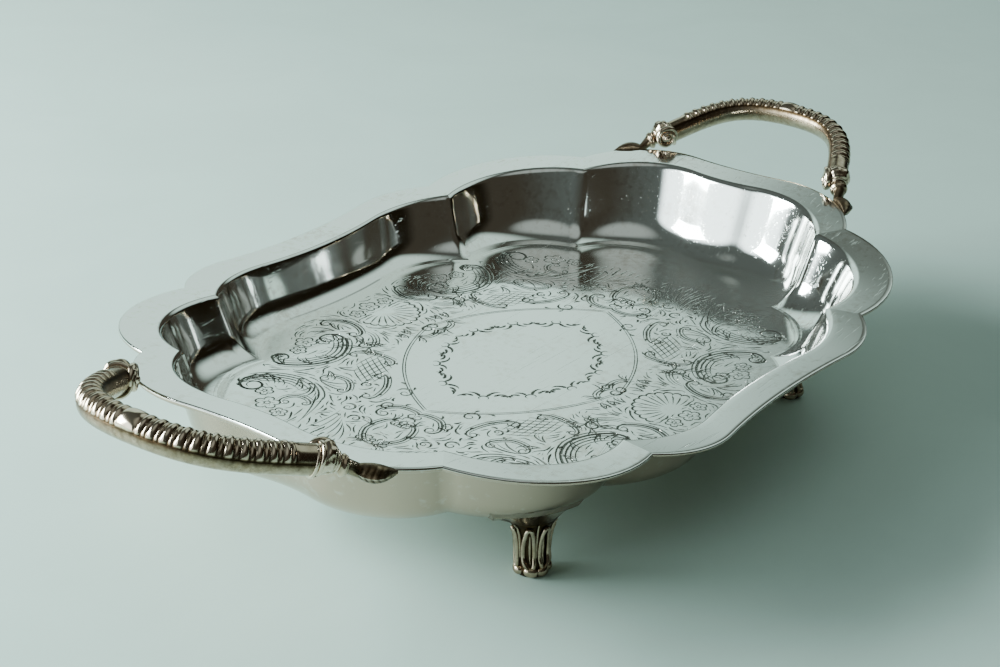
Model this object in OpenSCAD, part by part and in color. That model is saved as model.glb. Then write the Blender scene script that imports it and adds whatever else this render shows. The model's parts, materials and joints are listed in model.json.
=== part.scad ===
// Footed serving tray, silver plated, with a lobed outline, two gadrooned handles and four feet.
// Origin: on the table, under the middle of the tray. +X runs along the tray to the right handle,
// +Y to the back long side, +Z up.

/* [Tray] */
// Height of the flat well floor above the table
floor_height = 28.6; // [20:0.1:45]
// Depth of the well below the rim at the tray's middle
well_depth = 26; // [15:0.5:40]
// Thickness of the sheet
sheet = 1.6; // [1:0.1:3]
// Rise of the rim at the middle of each end
end_rise = 11.7; // [0:0.1:20]
// Dip of the rim's outer edge at the middle of each long side
side_dip = 2.7; // [0:0.1:8]
// Dip of the well's lip at the middle of each long side
lip_dip = 3.0; // [0:0.1:8]
// Angle of the well wall from the horizontal
wall_angle = 70; // [45:1:80]
// Radius of the rounded lip between rim and wall
lip_round = 3; // [2:0.5:6]

/* [Outer edge] */
// Half length at the middle of the ends
edge_x = 176; // [140:1:220]
// Radius of the hollow at the middle of each end
edge_end_hollow = 172.7; // [60:0.1:300]
// Half angle of that hollow
edge_end_hollow_deg = 7.8; // [2:0.1:20]
// Radius of the two lobes beside it
edge_end_lobe = 44.5; // [20:0.1:90]
// Angle at which an end lobe meets its nick
edge_end_lobe_deg = 68.5; // [30:0.1:90]
// Half width at the middle of the long sides
edge_y = 122; // [90:1:160]
// Radius of the hollow at the middle of each long side
edge_side_hollow = 322.6; // [60:0.1:500]
// Half angle of that hollow
edge_side_hollow_deg = 8.3; // [2:0.1:20]
// Radius of the two lobes beside it
edge_side_lobe = 41.9; // [20:0.1:90]
// Angle at which a side lobe meets its nick
edge_side_lobe_deg = 45; // [20:0.1:80]
// Bulge of the corner lobe past the straight line between its two nicks
edge_corner_bulge = 16.7; // [5:0.1:30]

/* [Lip] */
// Half length at the middle of the ends
lip_x = 162.4; // [130:0.1:210]
// Radius of the hollow at the middle of each end
lip_end_hollow = 85.5; // [40:0.1:300]
// Half angle of that hollow
lip_end_hollow_deg = 10.8; // [2:0.1:20]
// Radius of the two lobes beside it
lip_end_lobe = 42.6; // [20:0.1:90]
// Angle at which an end lobe meets its crease
lip_end_lobe_deg = 66.9; // [30:0.1:90]
// Half width at the middle of the long sides
lip_y = 108.9; // [80:0.1:150]
// Radius of the hollow at the middle of each long side
lip_side_hollow = 262.8; // [60:0.1:500]
// Half angle of that hollow
lip_side_hollow_deg = 8.5; // [2:0.1:20]
// Radius of the two lobes beside it
lip_side_lobe = 50.9; // [20:0.1:90]
// Angle at which a side lobe meets its crease
lip_side_lobe_deg = 40.6; // [20:0.1:80]
// Bulge of the corner lobe
lip_corner_bulge = 15; // [5:0.1:30]

/* [Floor] */
// Half length at the middle of the ends
floor_x = 140.8; // [110:0.1:190]
// Radius of the hollow at the middle of each end
floor_end_hollow = 60; // [30:0.1:300]
// Half angle of that hollow
floor_end_hollow_deg = 11; // [2:0.1:20]
// Radius of the two lobes beside it
floor_end_lobe = 36; // [20:0.1:90]
// Angle at which an end lobe meets its crease
floor_end_lobe_deg = 70.8; // [30:0.1:90]
// Half width at the middle of the long sides
floor_y = 93.3; // [70:0.1:130]
// Radius of the hollow at the middle of each long side
floor_side_hollow = 200; // [60:0.1:500]
// Half angle of that hollow
floor_side_hollow_deg = 8.5; // [2:0.1:20]
// Radius of the two lobes beside it
floor_side_lobe = 45; // [20:0.1:90]
// Angle at which a side lobe meets its crease
floor_side_lobe_deg = 52.3; // [20:0.1:80]
// Bulge of the corner lobe
floor_corner_bulge = 11.4; // [3:0.1:30]

/* [Handles] */
// Middle of the bar at the top of the loop, out from the tray's middle
bar_x = 223.6; // [200:0.1:260]
// Height of that point
bar_z = 81.4; // [65:0.1:110]
// Straight run of the loop from its top toward each shoulder
bar_top_run = 30.4; // [15:0.1:45]
// Shoulder of the loop, out along X
bar_shoulder_x = 209.6; // [195:0.1:240]
// Shoulder of the loop, out along Y
bar_shoulder_y = 35.6; // [25:0.1:60]
// End of the bar at the scroll, along X
bar_end_x = 186.9; // [178:0.1:220]
// End of the bar at the scroll, along Y
bar_end_y = 45.6; // [30:0.1:60]
// Height of the end of the bar
bar_end_z = 70.8; // [60:0.1:100]
// Half width of the bar, across its broad face
bar_half_width = 5.4; // [4:0.1:12]
// Half thickness of the bar
bar_half_thick = 4.9; // [3:0.1:8]
// Lean of the broad face up from the plane of the loop
bar_lean = 24; // [0:1:45]
// Height of the large ribs of the gadroon
rib_height = 0.9; // [0.2:0.1:2]
// Pairs of a large and a small rib in each half of the loop
rib_pairs = 11; // [4:1:14]
// Half length of the plain bead at the top of the loop
bead_half = 4.2; // [2:0.1:8]
// Overhang of the ribbed face past the plain back
face_overhang = 0.5; // [0.2:0.1:1.5]
// Width of the leaf at each handle end, out from the rim
leaf_width = 6.4; // [4:0.1:10]

/* [Feet] */
// Middle of a foot's sole along X
foot_x = 98.6; // [80:0.1:120]
// Middle of a foot's sole along Y
foot_y = 75.7; // [60:0.1:95]
// Width of the sole
sole_width = 12.5; // [8:0.1:20]
// Depth of the sole
sole_depth = 10.5; // [6:0.1:18]
// Width of the ankle
ankle_width = 15; // [9:0.1:20]
// Depth of the ankle
ankle_depth = 8.6; // [5:0.1:16]
// Thickness of the bracket at its edge
bracket_edge_thick = 1.6; // [0.8:0.1:3]
// Reach of the bracket over the flat floor
bracket_reach = 5.5; // [3:0.1:10]
// Width of the solder fillets
solder_leg = 2; // [1:0.1:4]
// Height of the solder fillets
solder_rise = 1.2; // [0.5:0.1:1.6]

/* [Hidden] */
rim_z = floor_height + well_depth;
hollow_steps = 3;
lobe_steps = 8;
corner_steps = 8;
quarter_steps = 2 * (hollow_steps + lobe_steps) + corner_steps;
around = 4 * quarter_steps;
lip_steps = 4;
fillet_steps = 6;

// Points of half an end: a hollow arc from the axis, then a lobe up to the nick. Along x, y >= 0.
function end_half(half, hollow, hollow_deg, lobe, lobe_deg) =
  let (cx = half + hollow - (hollow + lobe) * cos(hollow_deg), cy = (hollow + lobe) * sin(hollow_deg))
  concat(
    [for (i = [0 : hollow_steps]) let (a = hollow_deg * i / hollow_steps)
      [half + hollow * (1 - cos(a)), hollow * sin(a)]],
    [for (i = [1 : lobe_steps]) let (a = -hollow_deg + (lobe_deg + hollow_deg) * i / lobe_steps)
      [cx + lobe * cos(a), cy + lobe * sin(a)]]);

// Points between two nicks on an arc that bulges outward, ends left out.
function corner(e, l, bulge) =
  let (d = l - e, c = norm(d), out = [d.y, -d.x] / c, r = (c * c / 4 + bulge * bulge) / (2 * bulge),
       mid = (e + l) / 2 + out * (bulge - r), half = asin(c / 2 / r), a0 = atan2(out.y, out.x))
  [for (i = [1 : corner_steps - 1]) let (a = a0 - half + 2 * half * i / corner_steps)
    mid + r * [cos(a), sin(a)]];

// One quarter of a lobed outline, from the +X axis to the +Y axis.
function quarter(e, s, bulge) =
  let (end = end_half(e[0], e[1], e[2], e[3], e[4]), side = end_half(s[0], s[1], s[2], s[3], s[4]),
       n = len(side) - 1, l = [side[n].y, side[n].x])
  concat(end, corner(end[n], l, bulge), [for (i = [n : -1 : 0]) [side[i].y, side[i].x]]);

// The whole outline, by mirroring the quarter about both axes.
function whole(q) =
  let (n = len(q) - 1)
  concat([for (i = [0 : n - 1]) q[i]], [for (i = [n : -1 : 1]) [-q[i].x, q[i].y]],
         [for (i = [0 : n - 1]) -q[i]], [for (i = [n : -1 : 1]) [q[i].x, -q[i].y]]);

edge_line = whole(quarter(
  [edge_x, edge_end_hollow, edge_end_hollow_deg, edge_end_lobe, edge_end_lobe_deg],
  [edge_y, edge_side_hollow, edge_side_hollow_deg, edge_side_lobe, edge_side_lobe_deg],
  edge_corner_bulge));
lip_line = whole(quarter(
  [lip_x, lip_end_hollow, lip_end_hollow_deg, lip_end_lobe, lip_end_lobe_deg],
  [lip_y, lip_side_hollow, lip_side_hollow_deg, lip_side_lobe, lip_side_lobe_deg],
  lip_corner_bulge));
floor_line = whole(quarter(
  [floor_x, floor_end_hollow, floor_end_hollow_deg, floor_end_lobe, floor_end_lobe_deg],
  [floor_y, floor_side_hollow, floor_side_hollow_deg, floor_side_lobe, floor_side_lobe_deg],
  floor_corner_bulge));

flange = edge_x - lip_x;
run = lip_x - floor_x;

// Radius of the fillet at the foot of the wall that lets the wall span the run and the depth.
fillet_round = let (s = sin(wall_angle), c = cos(wall_angle), p = run - lip_round * s,
                    q = well_depth - lip_round * (1 - c))
  (p * s - q * c) / (s * s - c * (1 - c));

// Rise of the saddle-shaped rim above its middle level.
function saddle(p, dip, y) = end_rise * pow(p.x / edge_x, 2) - dip * pow(p.y / y, 2);

// A point of the sheet: i counts around the outline, sec is [distance in from the lip, height].
function on_sheet(i, sec) =
  let (e = edge_line[i], l = lip_line[i], f = floor_line[i],
       out = max(0, -sec[0] / flange), in = min(1, max(0, sec[0] / run)), past = max(0, sec[0] - run),
       p = l + (e - l) * out + (f - l) * in - f * past / norm(f),
       lift = (1 - out) * saddle(l, lip_dip, lip_y) + out * saddle(e, side_dip, edge_y))
  [p.x, p.y, rim_z + sec[1] + lift * min(1, max(0, 1 + sec[1] / well_depth))];

// Section of the sheet's upper face (t = 0) and of its under face (t = sheet), edge to floor.
function section(t) = concat(
  [[-flange, -t]],
  [for (i = [0 : lip_steps]) let (a = wall_angle * i / lip_steps, r = lip_round - t)
    [r * sin(a), r * cos(a) - lip_round]],
  [for (i = [0 : fillet_steps]) let (a = wall_angle * (1 - i / fillet_steps), r = fillet_round + t)
    [run - r * sin(a), fillet_round - well_depth - r * cos(a)]]);

upper = section(0);
under = section(sheet);
rings = len(upper);

// Side strips of a loft between closed loops of n points, each wound the same way.
function loft_faces(n, loops) =
  [for (j = [0 : loops - 2], i = [0 : n - 1], k = [0, 1])
    let (a = j * n + i, b = j * n + (i + 1) % n)
    k == 0 ? [a, b, b + n] : [a, b + n, a + n]];

// A closed solid through loops of n points: strips, then a cap on the first and the last loop.
module loft(loops) {
  n = len(loops[0]);
  m = len(loops);
  polyhedron(
    points = [for (l = loops, p = l) p],
    faces = concat([for (f = loft_faces(n, m)) [f[2], f[1], f[0]]],
                   [[for (i = [0 : n - 1]) i]],
                   [[for (i = [n - 1 : -1 : 0]) (m - 1) * n + i]]),
    convexity = 10);
}

module tray_body() color("silver")
  loft(concat([for (j = [rings - 1 : -1 : 0]) [for (i = [0 : around - 1]) on_sheet(i, upper[j])]],
              [for (j = [0 : rings - 1]) [for (i = [0 : around - 1]) on_sheet(i, under[j])]]));

// ---- handles: a loop bar on a tilted plane, ending in a scroll, a bead and a leaf ----

tilt = atan2(bar_z - bar_end_z, bar_x - bar_end_x);
function loop_z(x) = bar_z - (bar_x - x) * tan(tilt);

// Middle line of the right-hand loop, v from -1 (front end) through 0 (top) to 1 (back end).
function bar_at(v) =
  let (t = abs(v), s = sign(v), a = 1 - t,
       x = bar_x * (a * a * a + 3 * t * a * a) + 3 * t * t * a * bar_shoulder_x + t * t * t * bar_end_x,
       y = 3 * t * a * a * bar_top_run + 3 * t * t * a * bar_shoulder_y + t * t * t * bar_end_y)
  [x, s * y, loop_z(x)];

function unit(v) = v / norm(v);
normal = [-sin(tilt), 0, cos(tilt)];

// Point of the bar's oval section at angle a, out is the part of the section's size.
function bar_point(v, a, grow) =
  let (along = unit(bar_at(min(1, v + 0.004)) - bar_at(max(-1, v - 0.004))),
       outward = cross(along, normal),
       broad = cos(bar_lean) * outward + sin(bar_lean) * normal,
       wide = cos(bar_lean) * normal - sin(bar_lean) * outward)
  bar_at(v) + wide * (bar_half_width + grow) * cos(a) + broad * (bar_half_thick + grow) * sin(a);

// Angles of the two seams round the bar's section, and the face's height over the bare section.
seam_top = -10;
seam_low = 111;
face_skin = 0.3;
face_cuts = 6;
back_cuts = 6;

// Length of the middle line, used to space the ribs evenly.
walk_steps = 60;
function walk(k) = k == 0 ? [0] :
  let (w = walk(k - 1))
  concat(w, [w[k - 1] + norm(bar_at(k / walk_steps) - bar_at((k - 1) / walk_steps))]);
lengths = walk(walk_steps);
function v_at(s) = lookup(s, [for (k = [0 : walk_steps]) [lengths[k], k / walk_steps]]);
plain_end = 9;
ribbed = lengths[walk_steps] - plain_end - bead_half;
pitch = ribbed / rib_pairs;

// Height of the face above the bare section, s along the bar from the top of the loop.
// A large rib takes the first part of each pair, and a lower one the rest.
large_part = 0.62;
small_height = 0.55 * rib_height;
bead_height = 1.3 * rib_height;
function relief(s) =
  let (u = (s - bead_half) / pitch, f = u - floor(u))
  s < bead_half ? bead_height * sqrt(max(0, 1 - pow(s / bead_half, 2))) :
  s > bead_half + ribbed - 0.01 ? 0 :
  f < large_part ? rib_height * sqrt(max(0, sin(180 * f / large_part))) :
  small_height * sqrt(max(0, sin(180 * (f - large_part) / (1 - large_part))));

per_pair = 6;
half_stations = concat([for (i = [0 : 3]) bead_half * i / 4],
  [for (i = [0 : rib_pairs * per_pair]) bead_half + pitch * i / per_pair],
  [for (i = [1 : 3]) bead_half + ribbed + plain_end * i / 3]);

// Chord of the seam between face and back, widened at both ends by over.
function seam(v, over) =
  let (p = bar_point(v, seam_top, 0), q = bar_point(v, seam_low, 0), u = unit(p - q))
  [p + over * u, q - over * u];

// Loop of the face at distance s: ribbed arc, then the seam side, bulged to the full section at the end.
function face_loop(s, full) =
  let (v = min(1, v_at(s)), c = seam(v, face_overhang), h = relief(s))
  concat([c[0]],
    [for (i = [1 : face_cuts - 1]) let (w = sin(180 * i / face_cuts))
      bar_point(v, seam_top + (seam_low - seam_top) * i / face_cuts, face_skin + h * sqrt(w))],
    [c[1]],
    [for (i = [1 : back_cuts - 1]) full ?
      bar_point(v, seam_low + (360 + seam_top - seam_low) * i / back_cuts, face_skin) :
      c[1] + (c[0] - c[1]) * i / back_cuts]);

// Loops past the end of the bar are ovals across the way from the bar's end to the bead.
loop_size = face_cuts + back_cuts;
function oval_loop(mid, dir, w, h) =
  let (d = unit(dir), side = unit(cross(d, [0, 0, 1])), up = cross(side, d))
  [for (i = [0 : loop_size - 1]) let (a = seam_top + 360 * i / loop_size)
    mid + up * h * cos(a) + side * w * sin(a)];

// Swellings of the scroll as [part of the way, half width, half height], of the bead as [way, radius].
bar_stop = bar_at(1);
bead_mid = [178.9, 51.4, 67.6];
scroll = [[0.12, 5.4, 5.6], [0.3, 6.2, 6.2], [0.5, 6, 6], [0.68, 4.8, 4.8], [0.78, 3.1, 3.1]];
bead = [[0.84, 3.6], [0.95, 4.1], [1.06, 3.6], [1.12, 2.8]];

scroll_arch = 2;
function end_point(k) =
  bar_stop + (bead_mid - bar_stop) * k + [0, 0, scroll_arch * sin(180 * min(1, k / 0.9))];

// A point of the sheet between the outline's points, k may be a fraction.
function between(k, sec) =
  let (i = floor(k), f = k - i) on_sheet(i, sec) * (1 - f) + on_sheet(i + 1, sec) * f;

// Leaf: loops standing against the rim's outer edge, from outline point leaf_first to leaf_last.
leaf_first = 7.1;
leaf_last = 8.8;
leaf_half_high = 3.6;
leaf_rim = 0.5;
leaf_at = concat([leaf_first], [for (k = [7.25 : 0.25 : 8.6]) k], [8.68, leaf_last]);
function leaf_loop(k) =
  let (t = (k - leaf_first) / (leaf_last - leaf_first), i = floor(k - 0.001),
       d = on_sheet(i + 1, [-flange, 0]) - on_sheet(i, [-flange, 0]), n = unit([d.y, -d.x, 0]),
       g = sin(180 * (0.25 + 0.72 * t)), w = leaf_width * g + 0.3, h = leaf_half_high * g + leaf_rim)
  [for (j = [0 : loop_size - 1]) let (a = seam_top + 360 * j / loop_size)
    between(k, [-flange, -sheet / 2]) + n * w * max(0, 0.42 + 0.62 * sin(a)) + [0, 0, h * cos(a)]];

// Loops of one end, past the bar, on the +Y side.
end_loops = concat(
  [for (q = scroll) oval_loop(end_point(q[0]), bead_mid - bar_stop, q[1], q[2])],
  [for (q = bead) oval_loop(end_point(q[0]), bead_mid - bar_stop, q[1], q[1])]);
leaf_loops = [for (k = leaf_at) leaf_loop(k)];

module face_half() {
  last = bead_half + ribbed + plain_end;
  loft(concat(
    [for (s = half_stations) face_loop(s, false)],
    [face_loop(last, true)],
    end_loops, leaf_loops));
}

module handle_face() {
  face_half();
  mirror([0, 1, 0]) face_half();
}

module handle_back() {
  half = concat([0, v_at(bead_half / 2)],
    [for (i = [0 : 2 * rib_pairs]) v_at(bead_half + pitch * i / 2)],
    [for (i = [1 : 3]) v_at(bead_half + ribbed + plain_end * i / 3)]);
  n = len(half) - 1;
  vs = concat([for (i = [n : -1 : 1]) -min(1, half[i])], [for (i = [0 : n]) min(1, half[i])]);
  loft([for (v = vs) [for (i = [0 : back_cuts])
    bar_point(v, seam_low + (360 + seam_top - seam_low) * i / back_cuts, 0)]]);
}

module handle_right_face() color("silver") handle_face();
module handle_right_back() color("silver") handle_back();
module handle_left_face() color("silver") mirror([1, 0, 0]) handle_face();
module handle_left_back() color("silver") mirror([1, 0, 0]) handle_back();

// ---- feet: a bracket shaped to the underside of the well, an ankle and a sole ----

mid_col = hollow_steps + lobe_steps + corner_steps / 2;
cols = [-2 : 2];
// Distances in from the lip of the rows of the bracket's top, the last one on the flat floor.
rows = [rings - 5, rings - 4, rings - 3, rings - 1];
inner_row = [run + bracket_reach, -well_depth - sheet];
function row_sec(j) = j < len(rows) ? under[rows[j]] : inner_row;
function top_point(c, r) = on_sheet(mid_col + c, row_sec(r));

// The bracket's edge as [column, row], once around.
rim_walk = concat([for (c = [-2 : 1]) [c, 0]], [for (r = [0 : 3]) [2, r]],
                  [for (c = [2 : -1 : -1]) [c, 4]], [for (r = [4 : -1 : 1]) [-2, r]]);
foot_axis = unit([0.55, 0.835, 0]);
sole_lean = 0.6;
foot_side = [foot_axis.y, -foot_axis.x, 0];

// Loop of the foot at height z, on a rounded square whose points follow the bracket's edge.
function foot_loop(z, w, d, lean) =
  [for (q = rim_walk) let (u = -q[0] / 2, v = 1 - q[1] / 2)
    [foot_x, foot_y, z] + foot_axis * lean
      + foot_side * w / 2 * u * sqrt(1 - v * v / 2) + foot_axis * d / 2 * v * sqrt(1 - u * u / 2)];

function lowered(loop, d) = [for (p = loop) p - [0, 0, d]];

bracket_edge = [for (q = rim_walk) top_point(q[0], q[1])];
// Loops below the bracket as [height, width, depth, lean out], from the shoulder to the sole's rounded edge.
foot_levels = [
  [21.5, ankle_width + 4, ankle_depth + 1.9, -0.6],
  [16, ankle_width, ankle_depth, -0.6],
  [9, ankle_width - 1.5, ankle_depth - 0.6, -0.8],
  [4, ankle_width - 2.5, ankle_depth, 0.2],
  [1.6, sole_width, sole_depth, sole_lean],
  [0, sole_width - 2, sole_depth - 2, sole_lean]];
foot_stack = concat([bracket_edge, lowered(bracket_edge, bracket_edge_thick)],
  [for (l = foot_levels) foot_loop(l[0], l[1], l[2], l[3])]);

// The bracket's top is the patch of the underside itself, so the foot seats on it all over.
module foot() {
  n = len(rim_walk);
  m = len(foot_stack);
  inner = [for (r = [1 : 3], c = [-1 : 1]) top_point(c, r)];
  function rim_index(c, r) = r == 0 ? c + 2 : c == 2 ? 4 + r : r == 4 ? 10 - c : 16 - r;
  function grid(c, r) = (r > 0 && r < 4 && abs(c) < 2) ? n * m + (r - 1) * 3 + c + 1
    : rim_index(c, r) % n;
  polyhedron(
    points = concat([for (l = foot_stack, p = l) p], inner),
    faces = concat(
      loft_faces(n, m),
      [[for (i = [0 : n - 1]) (m - 1) * n + i]],
      [for (r = [0 : 3], c = [-2 : 1], k = [0, 1])
        let (a = grid(c, r), b = grid(c + 1, r), d = grid(c + 1, r + 1), e = grid(c, r + 1))
        k == 0 ? [d, b, a] : [e, d, a]]),
    convexity = 6);
}

module foot_back_right() color("silver") foot();
module foot_back_left() color("silver") mirror([1, 0, 0]) foot();
module foot_front_right() color("silver") mirror([0, 1, 0]) foot();
module foot_front_left() color("silver") mirror([1, 0, 0]) mirror([0, 1, 0]) foot();

// ---- solder: a fillet round each foot's bracket, and one under the rim along each leaf ----

// Edge of the bracket moved out by d along the underside.
col_gap = norm(top_point(2, 2) - top_point(1, 2));
function bracket_out(q, d) =
  let (c = q[0] + sign(q[0]) * (abs(q[0]) == 2 ? d / col_gap : 0), a = row_sec(q[1]),
       up = under[rows[0] - 1], s = q[1] == 0 ? a + (up - a) * d / norm(up - a)
         : q[1] == 4 ? a + [d, 0] : a)
  between(mid_col + c, s);

module foot_fillet() {
  n = len(rim_walk);
  outer = [for (q = rim_walk) bracket_out(q, solder_leg)];
  polyhedron(
    points = concat(bracket_edge, outer, lowered(bracket_edge, solder_rise)),
    faces = [for (j = [0 : 2], i = [0 : n - 1], k = [0, 1])
      let (a = j * n + i, b = j * n + (i + 1) % n, d = (j + 1) % 3 * n + (i + 1) % n,
           e = (j + 1) % 3 * n + i)
      k == 0 ? [a, b, d] : [a, d, e]],
    convexity = 6);
}

leaf_solder_drop = 1.1;
module leaf_fillet()
  loft([for (k = [7.25 : 0.25 : 8.55]) let (rim = between(k, [-flange, -sheet]))
    [rim, rim - [0, 0, leaf_solder_drop], between(k, [solder_leg - flange, -sheet])]]);

module four_ways() for (a = [0, 1], b = [0, 1]) mirror([a, 0, 0]) mirror([0, b, 0]) children();

module foot_solder() color("lightgray") four_ways() foot_fillet();
module handle_solder() color("lightgray") four_ways() leaf_fillet();

tray_body();
handle_left_face();
handle_left_back();
handle_right_face();
handle_right_back();
foot_front_left();
foot_front_right();
foot_back_left();
foot_back_right();
foot_solder();
handle_solder();
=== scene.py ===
import json
import math

import bmesh
import bpy
import numpy as np
from mathutils import Matrix, Vector, kdtree
from mathutils.geometry import delaunay_2d_cdt

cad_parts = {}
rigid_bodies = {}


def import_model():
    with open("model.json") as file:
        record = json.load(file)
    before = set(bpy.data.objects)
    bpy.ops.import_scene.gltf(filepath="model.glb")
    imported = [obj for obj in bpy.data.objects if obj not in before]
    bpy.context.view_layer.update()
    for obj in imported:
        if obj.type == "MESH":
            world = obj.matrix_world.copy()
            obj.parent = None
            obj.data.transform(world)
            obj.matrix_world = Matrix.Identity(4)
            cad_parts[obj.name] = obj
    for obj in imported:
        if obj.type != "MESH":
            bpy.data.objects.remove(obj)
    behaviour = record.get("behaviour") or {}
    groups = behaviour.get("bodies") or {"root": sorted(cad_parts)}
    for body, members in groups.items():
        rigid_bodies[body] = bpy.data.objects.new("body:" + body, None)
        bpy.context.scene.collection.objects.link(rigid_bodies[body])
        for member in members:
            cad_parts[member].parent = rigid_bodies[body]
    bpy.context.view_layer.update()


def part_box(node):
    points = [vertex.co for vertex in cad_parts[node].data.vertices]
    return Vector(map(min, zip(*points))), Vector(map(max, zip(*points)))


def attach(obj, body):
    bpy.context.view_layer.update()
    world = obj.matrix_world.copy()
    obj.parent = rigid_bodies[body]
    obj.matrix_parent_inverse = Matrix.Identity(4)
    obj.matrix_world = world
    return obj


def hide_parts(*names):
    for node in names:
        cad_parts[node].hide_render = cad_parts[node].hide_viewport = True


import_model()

MM = 0.001
STAGE_COLOUR = (0.60, 0.78, 0.725, 1)

# ---------------------------------------------------------------- outline and section of the sheet
# Lengths in millimetres. The tray stands on z = 0, its middle over the origin.

FLOOR_Z = 28.6
WELL = 26.0
RIM_Z = FLOOR_Z + WELL
SHEET = 1.6
END_RISE = 11.7
SIDE_DIP = 2.7
LIP_DIP = 3.0
WALL = math.radians(70)
LIP_ROUND = 3.0

HOLLOW = 6
LOBE = 18
CORNER = 16
QUARTER = 2 * (HOLLOW + LOBE) + CORNER
AROUND = 4 * QUARTER
# Columns of the outline where a lobe meets its neighbour in a crease.
CREASES = [HOLLOW + LOBE, HOLLOW + LOBE + CORNER]


def end_half(half, hollow, hollow_deg, lobe, lobe_deg):
    """Half an end of the outline: a hollow arc from the axis, then a lobe up to the nick."""
    bend = math.radians(hollow_deg)
    cx = half + hollow - (hollow + lobe) * math.cos(bend)
    cy = (hollow + lobe) * math.sin(bend)
    a = np.linspace(0, bend, HOLLOW + 1)
    b = np.linspace(-bend, math.radians(lobe_deg), LOBE + 1)[1:]
    first = np.column_stack([half + hollow * (1 - np.cos(a)), hollow * np.sin(a)])
    second = np.column_stack([cx + lobe * np.cos(b), cy + lobe * np.sin(b)])
    return np.vstack([first, second])


def corner_lobe(start, stop, bulge):
    """Points between two nicks on an arc that bulges outward."""
    chord = stop - start
    length = np.hypot(*chord)
    out = np.array([chord[1], -chord[0]]) / length
    r = (length ** 2 / 4 + bulge ** 2) / (2 * bulge)
    middle = (start + stop) / 2 + out * (bulge - r)
    half = math.asin(length / 2 / r)
    turn = math.atan2(out[1], out[0]) + np.linspace(-half, half, CORNER + 1)[1:-1]
    return middle + r * np.column_stack([np.cos(turn), np.sin(turn)])


def outline(end, side, bulge):
    """The whole lobed outline, from the +X axis round by way of +Y."""
    e = end_half(*end)
    s = end_half(*side)[:, ::-1]
    q = np.vstack([e, corner_lobe(e[-1], s[-1], bulge), s[::-1]])
    n = len(q) - 1
    left = q[n:0:-1] * (-1, 1)
    return np.vstack([q[:n], left, -q[:n], -left])


# Half length and half width of the outline at the rim's edge, at the lip and at the floor.
EDGE_HALF = (176, 122)
LIP_HALF = (162.4, 108.9)
FLOOR_HALF = (140.8, 93.3)

EDGE = outline((EDGE_HALF[0], 172.7, 7.8, 44.5, 68.5), (EDGE_HALF[1], 322.6, 8.3, 41.9, 45), 16.7)
LIP = outline((LIP_HALF[0], 85.5, 10.8, 42.6, 66.9), (LIP_HALF[1], 262.8, 8.5, 50.9, 40.6), 15)
FLOOR = outline((FLOOR_HALF[0], 60, 11, 36, 70.8), (FLOOR_HALF[1], 200, 8.5, 45, 52.3), 11.4)
FLANGE = EDGE_HALF[0] - LIP_HALF[0]
RUN = LIP_HALF[0] - FLOOR_HALF[0]

sin_wall = math.sin(WALL)
cos_wall = math.cos(WALL)
across = RUN - LIP_ROUND * sin_wall
down = WELL - LIP_ROUND * (1 - cos_wall)
FILLET = (across * sin_wall - down * cos_wall) / (sin_wall ** 2 - cos_wall * (1 - cos_wall))


def saddle(p, dip, y):
    """Rise of the rim toward the ends and its dip at the long sides, whose half width is y."""
    return END_RISE * (p[:, 0] / EDGE_HALF[0]) ** 2 - dip * (p[:, 1] / y) ** 2


def sheet_ring(into, drop):
    """One ring of the sheet, at a distance in from the lip and a height from it."""
    out = max(0.0, -into / FLANGE)
    inward = min(1.0, max(0.0, into / RUN))
    past = max(0.0, into - RUN)
    far = FLOOR / np.linalg.norm(FLOOR, axis=1)[:, None]
    p = LIP + (EDGE - LIP) * out + (FLOOR - LIP) * inward - far * past
    lift = (1 - out) * saddle(LIP, LIP_DIP, LIP_HALF[1]) + out * saddle(EDGE, SIDE_DIP, EDGE_HALF[1])
    z = RIM_Z + drop + lift * min(1, max(0, 1 + drop / WELL))
    return np.column_stack([p, z])


def sheet_at(column, into, drop):
    """A point of the sheet at a column that may be a fraction."""
    ring = sheet_ring(into, drop)
    i = math.floor(column)
    f = column - i
    return ring[i % AROUND] * (1 - f) + ring[(i + 1) % AROUND] * f


def section(depth):
    """Rows from lip to floor as (distance in, height), on the face that lies depth under the top."""
    rows = []
    for k in range(9):
        a = WALL * k / 8
        r = LIP_ROUND - depth
        rows.append((r * math.sin(a), r * math.cos(a) - LIP_ROUND))
    r = FILLET + depth
    last = rows[-1]
    first = (RUN - r * math.sin(WALL), FILLET - WELL - r * math.cos(WALL))
    for k in range(1, 4):
        rows.append((last[0] + (first[0] - last[0]) * k / 4, last[1] + (first[1] - last[1]) * k / 4))
    for k in range(15):
        a = WALL * (1 - k / 14)
        rows.append((RUN - r * math.sin(a), FILLET - WELL - r * math.cos(a)))
    return rows


# ---------------------------------------------------------------- mesh helpers

def grow(bm, ring, points):
    """Extrudes a closed ring of vertices onto new points and gives back the new ring."""
    edges = [bm.edges.get((ring[i], ring[(i + 1) % len(ring)])) for i in range(len(ring))]
    made = bmesh.ops.extrude_edge_only(bm, edges=edges)["geom"]
    fresh = {v for v in made if isinstance(v, bmesh.types.BMVert)}
    new = []
    for v, p in zip(ring, points):
        w = next(e.other_vert(v) for e in v.link_edges if e.other_vert(v) in fresh)
        w.co = Vector(p) * MM
        new.append(w)
    return new


def first_ring(bm, points):
    """A circle of vertices laid onto points, counted the same way round."""
    ring = bmesh.ops.create_circle(bm, cap_ends=False, radius=1, segments=len(points))["verts"]
    for v, p in zip(ring, points):
        v.co = Vector(p) * MM
    return ring


def cap(bm, ring):
    edges = [bm.edges.get((ring[i], ring[(i + 1) % len(ring)])) for i in range(len(ring))]
    faces = bmesh.ops.contextual_create(bm, geom=edges)["faces"]
    bmesh.ops.triangulate(bm, faces=faces)


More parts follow.
